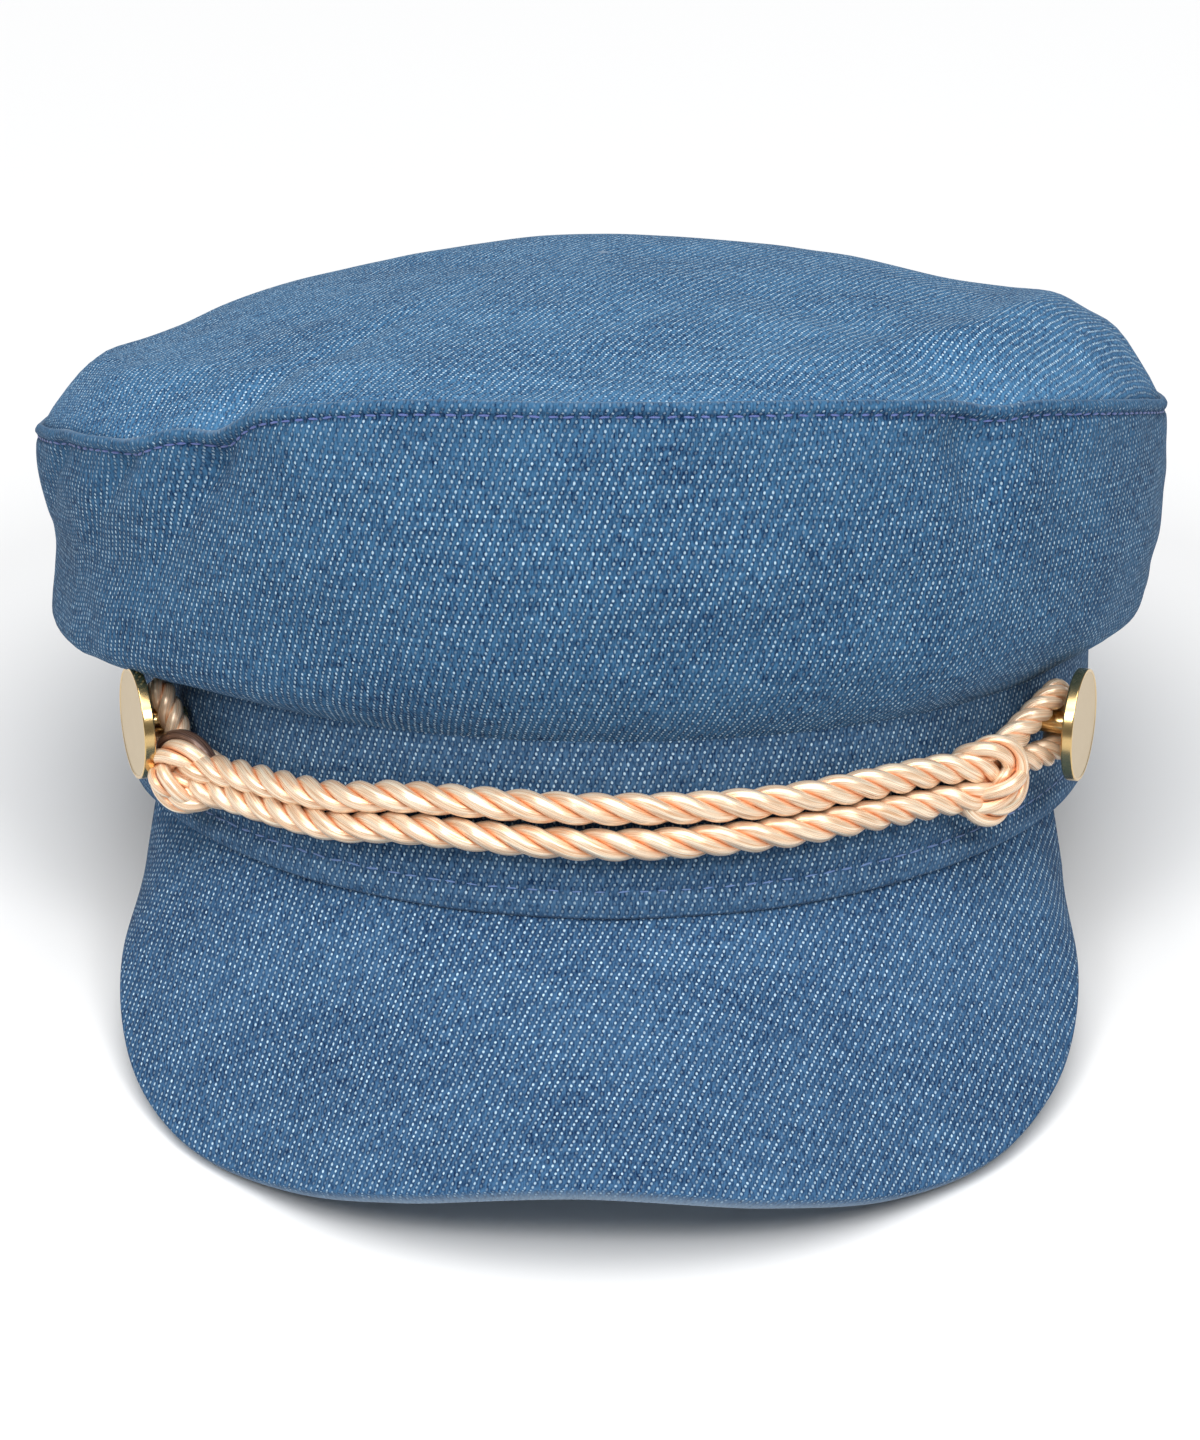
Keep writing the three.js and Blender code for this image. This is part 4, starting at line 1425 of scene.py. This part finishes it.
def turned_button(button, outline, sides=96):
    """The outline spun round the post's axis, with marks for the face and for the brushing."""
    foot, axis, rise, back = post_frame(button)
    angles = np.linspace(0, 2 * np.pi, sides, endpoint=False)[:, None, None]
    spokes = np.cos(angles) * rise + np.sin(angles) * np.cross(axis, rise)
    points = foot + outline[:, 1:, None][None, :, 0] * axis + outline[:, 0, None][None] * spokes
    size = len(outline)
    column, spot = np.meshgrid(np.arange(sides), np.arange(size - 1), indexing="ij")
    corners = [(column, spot), (column + 1, spot), (column + 1, spot + 1), (column, spot + 1)]
    faces = np.stack([c % sides * size + s for c, s in corners], -1).reshape(-1, 4)
    above_back = outline[:, 1] > cord_channel + button_thickness / 4
    on_face = above_back & (outline[:, 0] < face_radius + rim_slope / 2)
    marks = {
        "face": np.tile(on_face.astype(float), sides),
        "radius": np.tile(outline[:, 0] / button_radius, sides),
        "turn_x": np.repeat(np.cos(angles.ravel()), size),
        "turn_y": np.repeat(np.sin(angles.ravel()), size),
    }
    piece = add_piece("metal_" + button["name"], to_frame(points.reshape(-1, 3)), faces, marks=marks)
    close_shell(piece)
    print(piece.name, len(piece.data.polygons), "faces")
    return piece


def gold_finish():
    """Polished gold at the rim and a fine satin brushing on the face."""
    material, bench, shader = new_finish("brushed_gold", metallic=1.0)
    mark = lambda name: bench.add("ShaderNodeAttribute", {"attribute_name": name}).other("Fac")
    face, radius, x, y = mark("face"), mark("radius"), mark("turn_x"), mark("turn_y")
    brush = bench.noise(bench.vector(x * radius * 6, y * radius * 90, 1), 2)
    cloud = bench.noise(bench.vector(x * radius * 2, y * radius * 2, 4), 2)
    tone = (0.5 + (brush - 0.5) * 0.5 + (cloud - 0.5) * 0.5).clamped()
    polished = bench.blend(tone, dye(200, 164, 104), dye(228, 198, 142))
    matte = bench.blend(tone, dye(200, 180, 148), dye(220, 204, 176))
    bump = bench.add("ShaderNodeBump", {}, {"Strength": 0.25, "Distance": 0.00005, "Height": brush * face})
    feed(bench, shader, base_color=bench.blend(face, polished, matte), normal=bump,
         roughness=(0.2 + face * 0.28 + (cloud - 0.5) * 0.08).clamped())
    return material


gold = gold_finish()
outline = rounded_outline(button_outline, edge_radius)
metal_buttons = {button["name"]: turned_button(button, outline) for button in buttons}
for piece in metal_buttons.values():
    piece.data.materials.append(gold)

# %% [markdown]
# ## Joining the frame
#
# Every piece rides on the one body. Seven of them stand for their solids, which are hidden, and are
# listed with the names of their finishes. The stitches and the smooth loop are extra detail.

# %% Ride and replace
for piece, node, slot in (
    (top_cloth, "top_panel", "denim_top"),
    (side_cloth, "crown_side", "denim_side"),
    (band_cloth, "head_band", "denim_band"),
    (peak_cloth, "peak", "denim_peak"),
    (rope, "rope", "satin_cord"),
    (metal_buttons["button_left"], "button_left", "brushed_gold"),
    (metal_buttons["button_right"], "button_right", "brushed_gold"),
):
    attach(piece, "root")
    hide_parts(node)
for piece in (lip_row, hem_row, shaded_satin_loop):
    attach(piece, "root")
print("pieces ride on root")

# %% [markdown]
# ## The studio
#
# A pale floor, a broad light from above and two large panels at the front. The camera looks down at
# the leaned hat from 29 degrees above the floor, which is 15 degrees above the plane of the band.

# %% Floor
floor_size = 6.0
floor_drop = 0.0002
floor_corners = [
    (x * floor_size, y * floor_size, -floor_drop) for x, y in ((-1, -1), (1, -1), (1, 1), (-1, 1))]
floor_mesh = bpy.data.meshes.new("floor")
floor_mesh.from_pydata(floor_corners, [], [(0, 1, 2, 3)])
floor = bpy.data.objects.new("floor", floor_mesh)
bpy.context.scene.collection.objects.link(floor)
paper, bench, shader = new_finish("floor_paper", roughness=0.9, specular_ior_level=0.1)
place = bench.add("ShaderNodeTexCoord", output=3)
feed(bench, shader, base_color=bench.blend(bench.noise(place), dye(230, 230, 230), dye(234, 234, 234)))
floor_mesh.materials.append(paper)
floor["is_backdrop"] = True

# %% Lights
light_target = Vector((0, 0, 0.05))


def place_light(lamp, azimuth, elevation, distance):
    """Puts a lamp where it looks at the hat from a direction. Azimuth 0 is the camera's side."""
    light = bpy.data.objects.new(lamp.name, lamp)
    turn, height = math.radians(azimuth), math.radians(elevation)
    level = math.cos(height)
    direction = Vector((math.sin(turn) * level, -math.cos(turn) * level, math.sin(height)))
    light.location = direction * distance + light_target
    light.rotation_euler = direction.to_track_quat("Z", "Y").to_euler()
    bpy.context.scene.collection.objects.link(light)


overhead = bpy.data.lights.new("overhead", "SUN")
overhead.angle = math.radians(50)
overhead.energy = 2.7
place_light(overhead, azimuth=0, elevation=72, distance=3)
for name, azimuth in (("left_panel", -32), ("right_panel", 32)):
    panel = bpy.data.lights.new(name, "AREA")
    panel.size = 0.6
    panel.energy = 14
    place_light(panel, azimuth, elevation=42, distance=2.4)
world = bpy.data.worlds.new("studio")
world.use_nodes = True
sky = world.node_tree.nodes["Background"]
sky.inputs["Color"].default_value = (0.96, 0.98, 1.0, 1)
sky.inputs["Strength"].default_value = 0.2
bpy.context.scene.world = world
bpy.context.scene.view_settings.view_transform = "Standard"

# %% Camera
camera_elevation = math.radians(29.1985)
camera_distance = 0.9
camera_target = Vector((-0.00032, 0.00521, 0.03078))
lens = bpy.data.cameras.new("camera")
lens.lens = 120.6
lens.sensor_width = 36
camera = bpy.data.objects.new("camera", lens)
toward = Vector((0, -math.cos(camera_elevation), math.sin(camera_elevation)))
camera.matrix_world = Matrix.LocRotScale(
    camera_target + toward * camera_distance, toward.to_track_quat("Z", "Y"), None)
bpy.context.scene.collection.objects.link(camera)
bpy.context.scene.camera = camera
print("camera", [round(side, 3) for side in camera.location])

# %% [markdown]
# ## Both boxes
#
# The box of the solids and the box of the finished hat, where soft cloth may stand a little proud,
# are both printed. The finished hat must stay in the box of the solids, apart from what soft cloth
# may stand proud.

# %% Sizes to compare
boxes = {"cad": cad_box, "visual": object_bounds()}
sizes = {name: [list(map(float, corner)) for corner in box] for name, box in boxes.items()}
print("sizes", sizes)
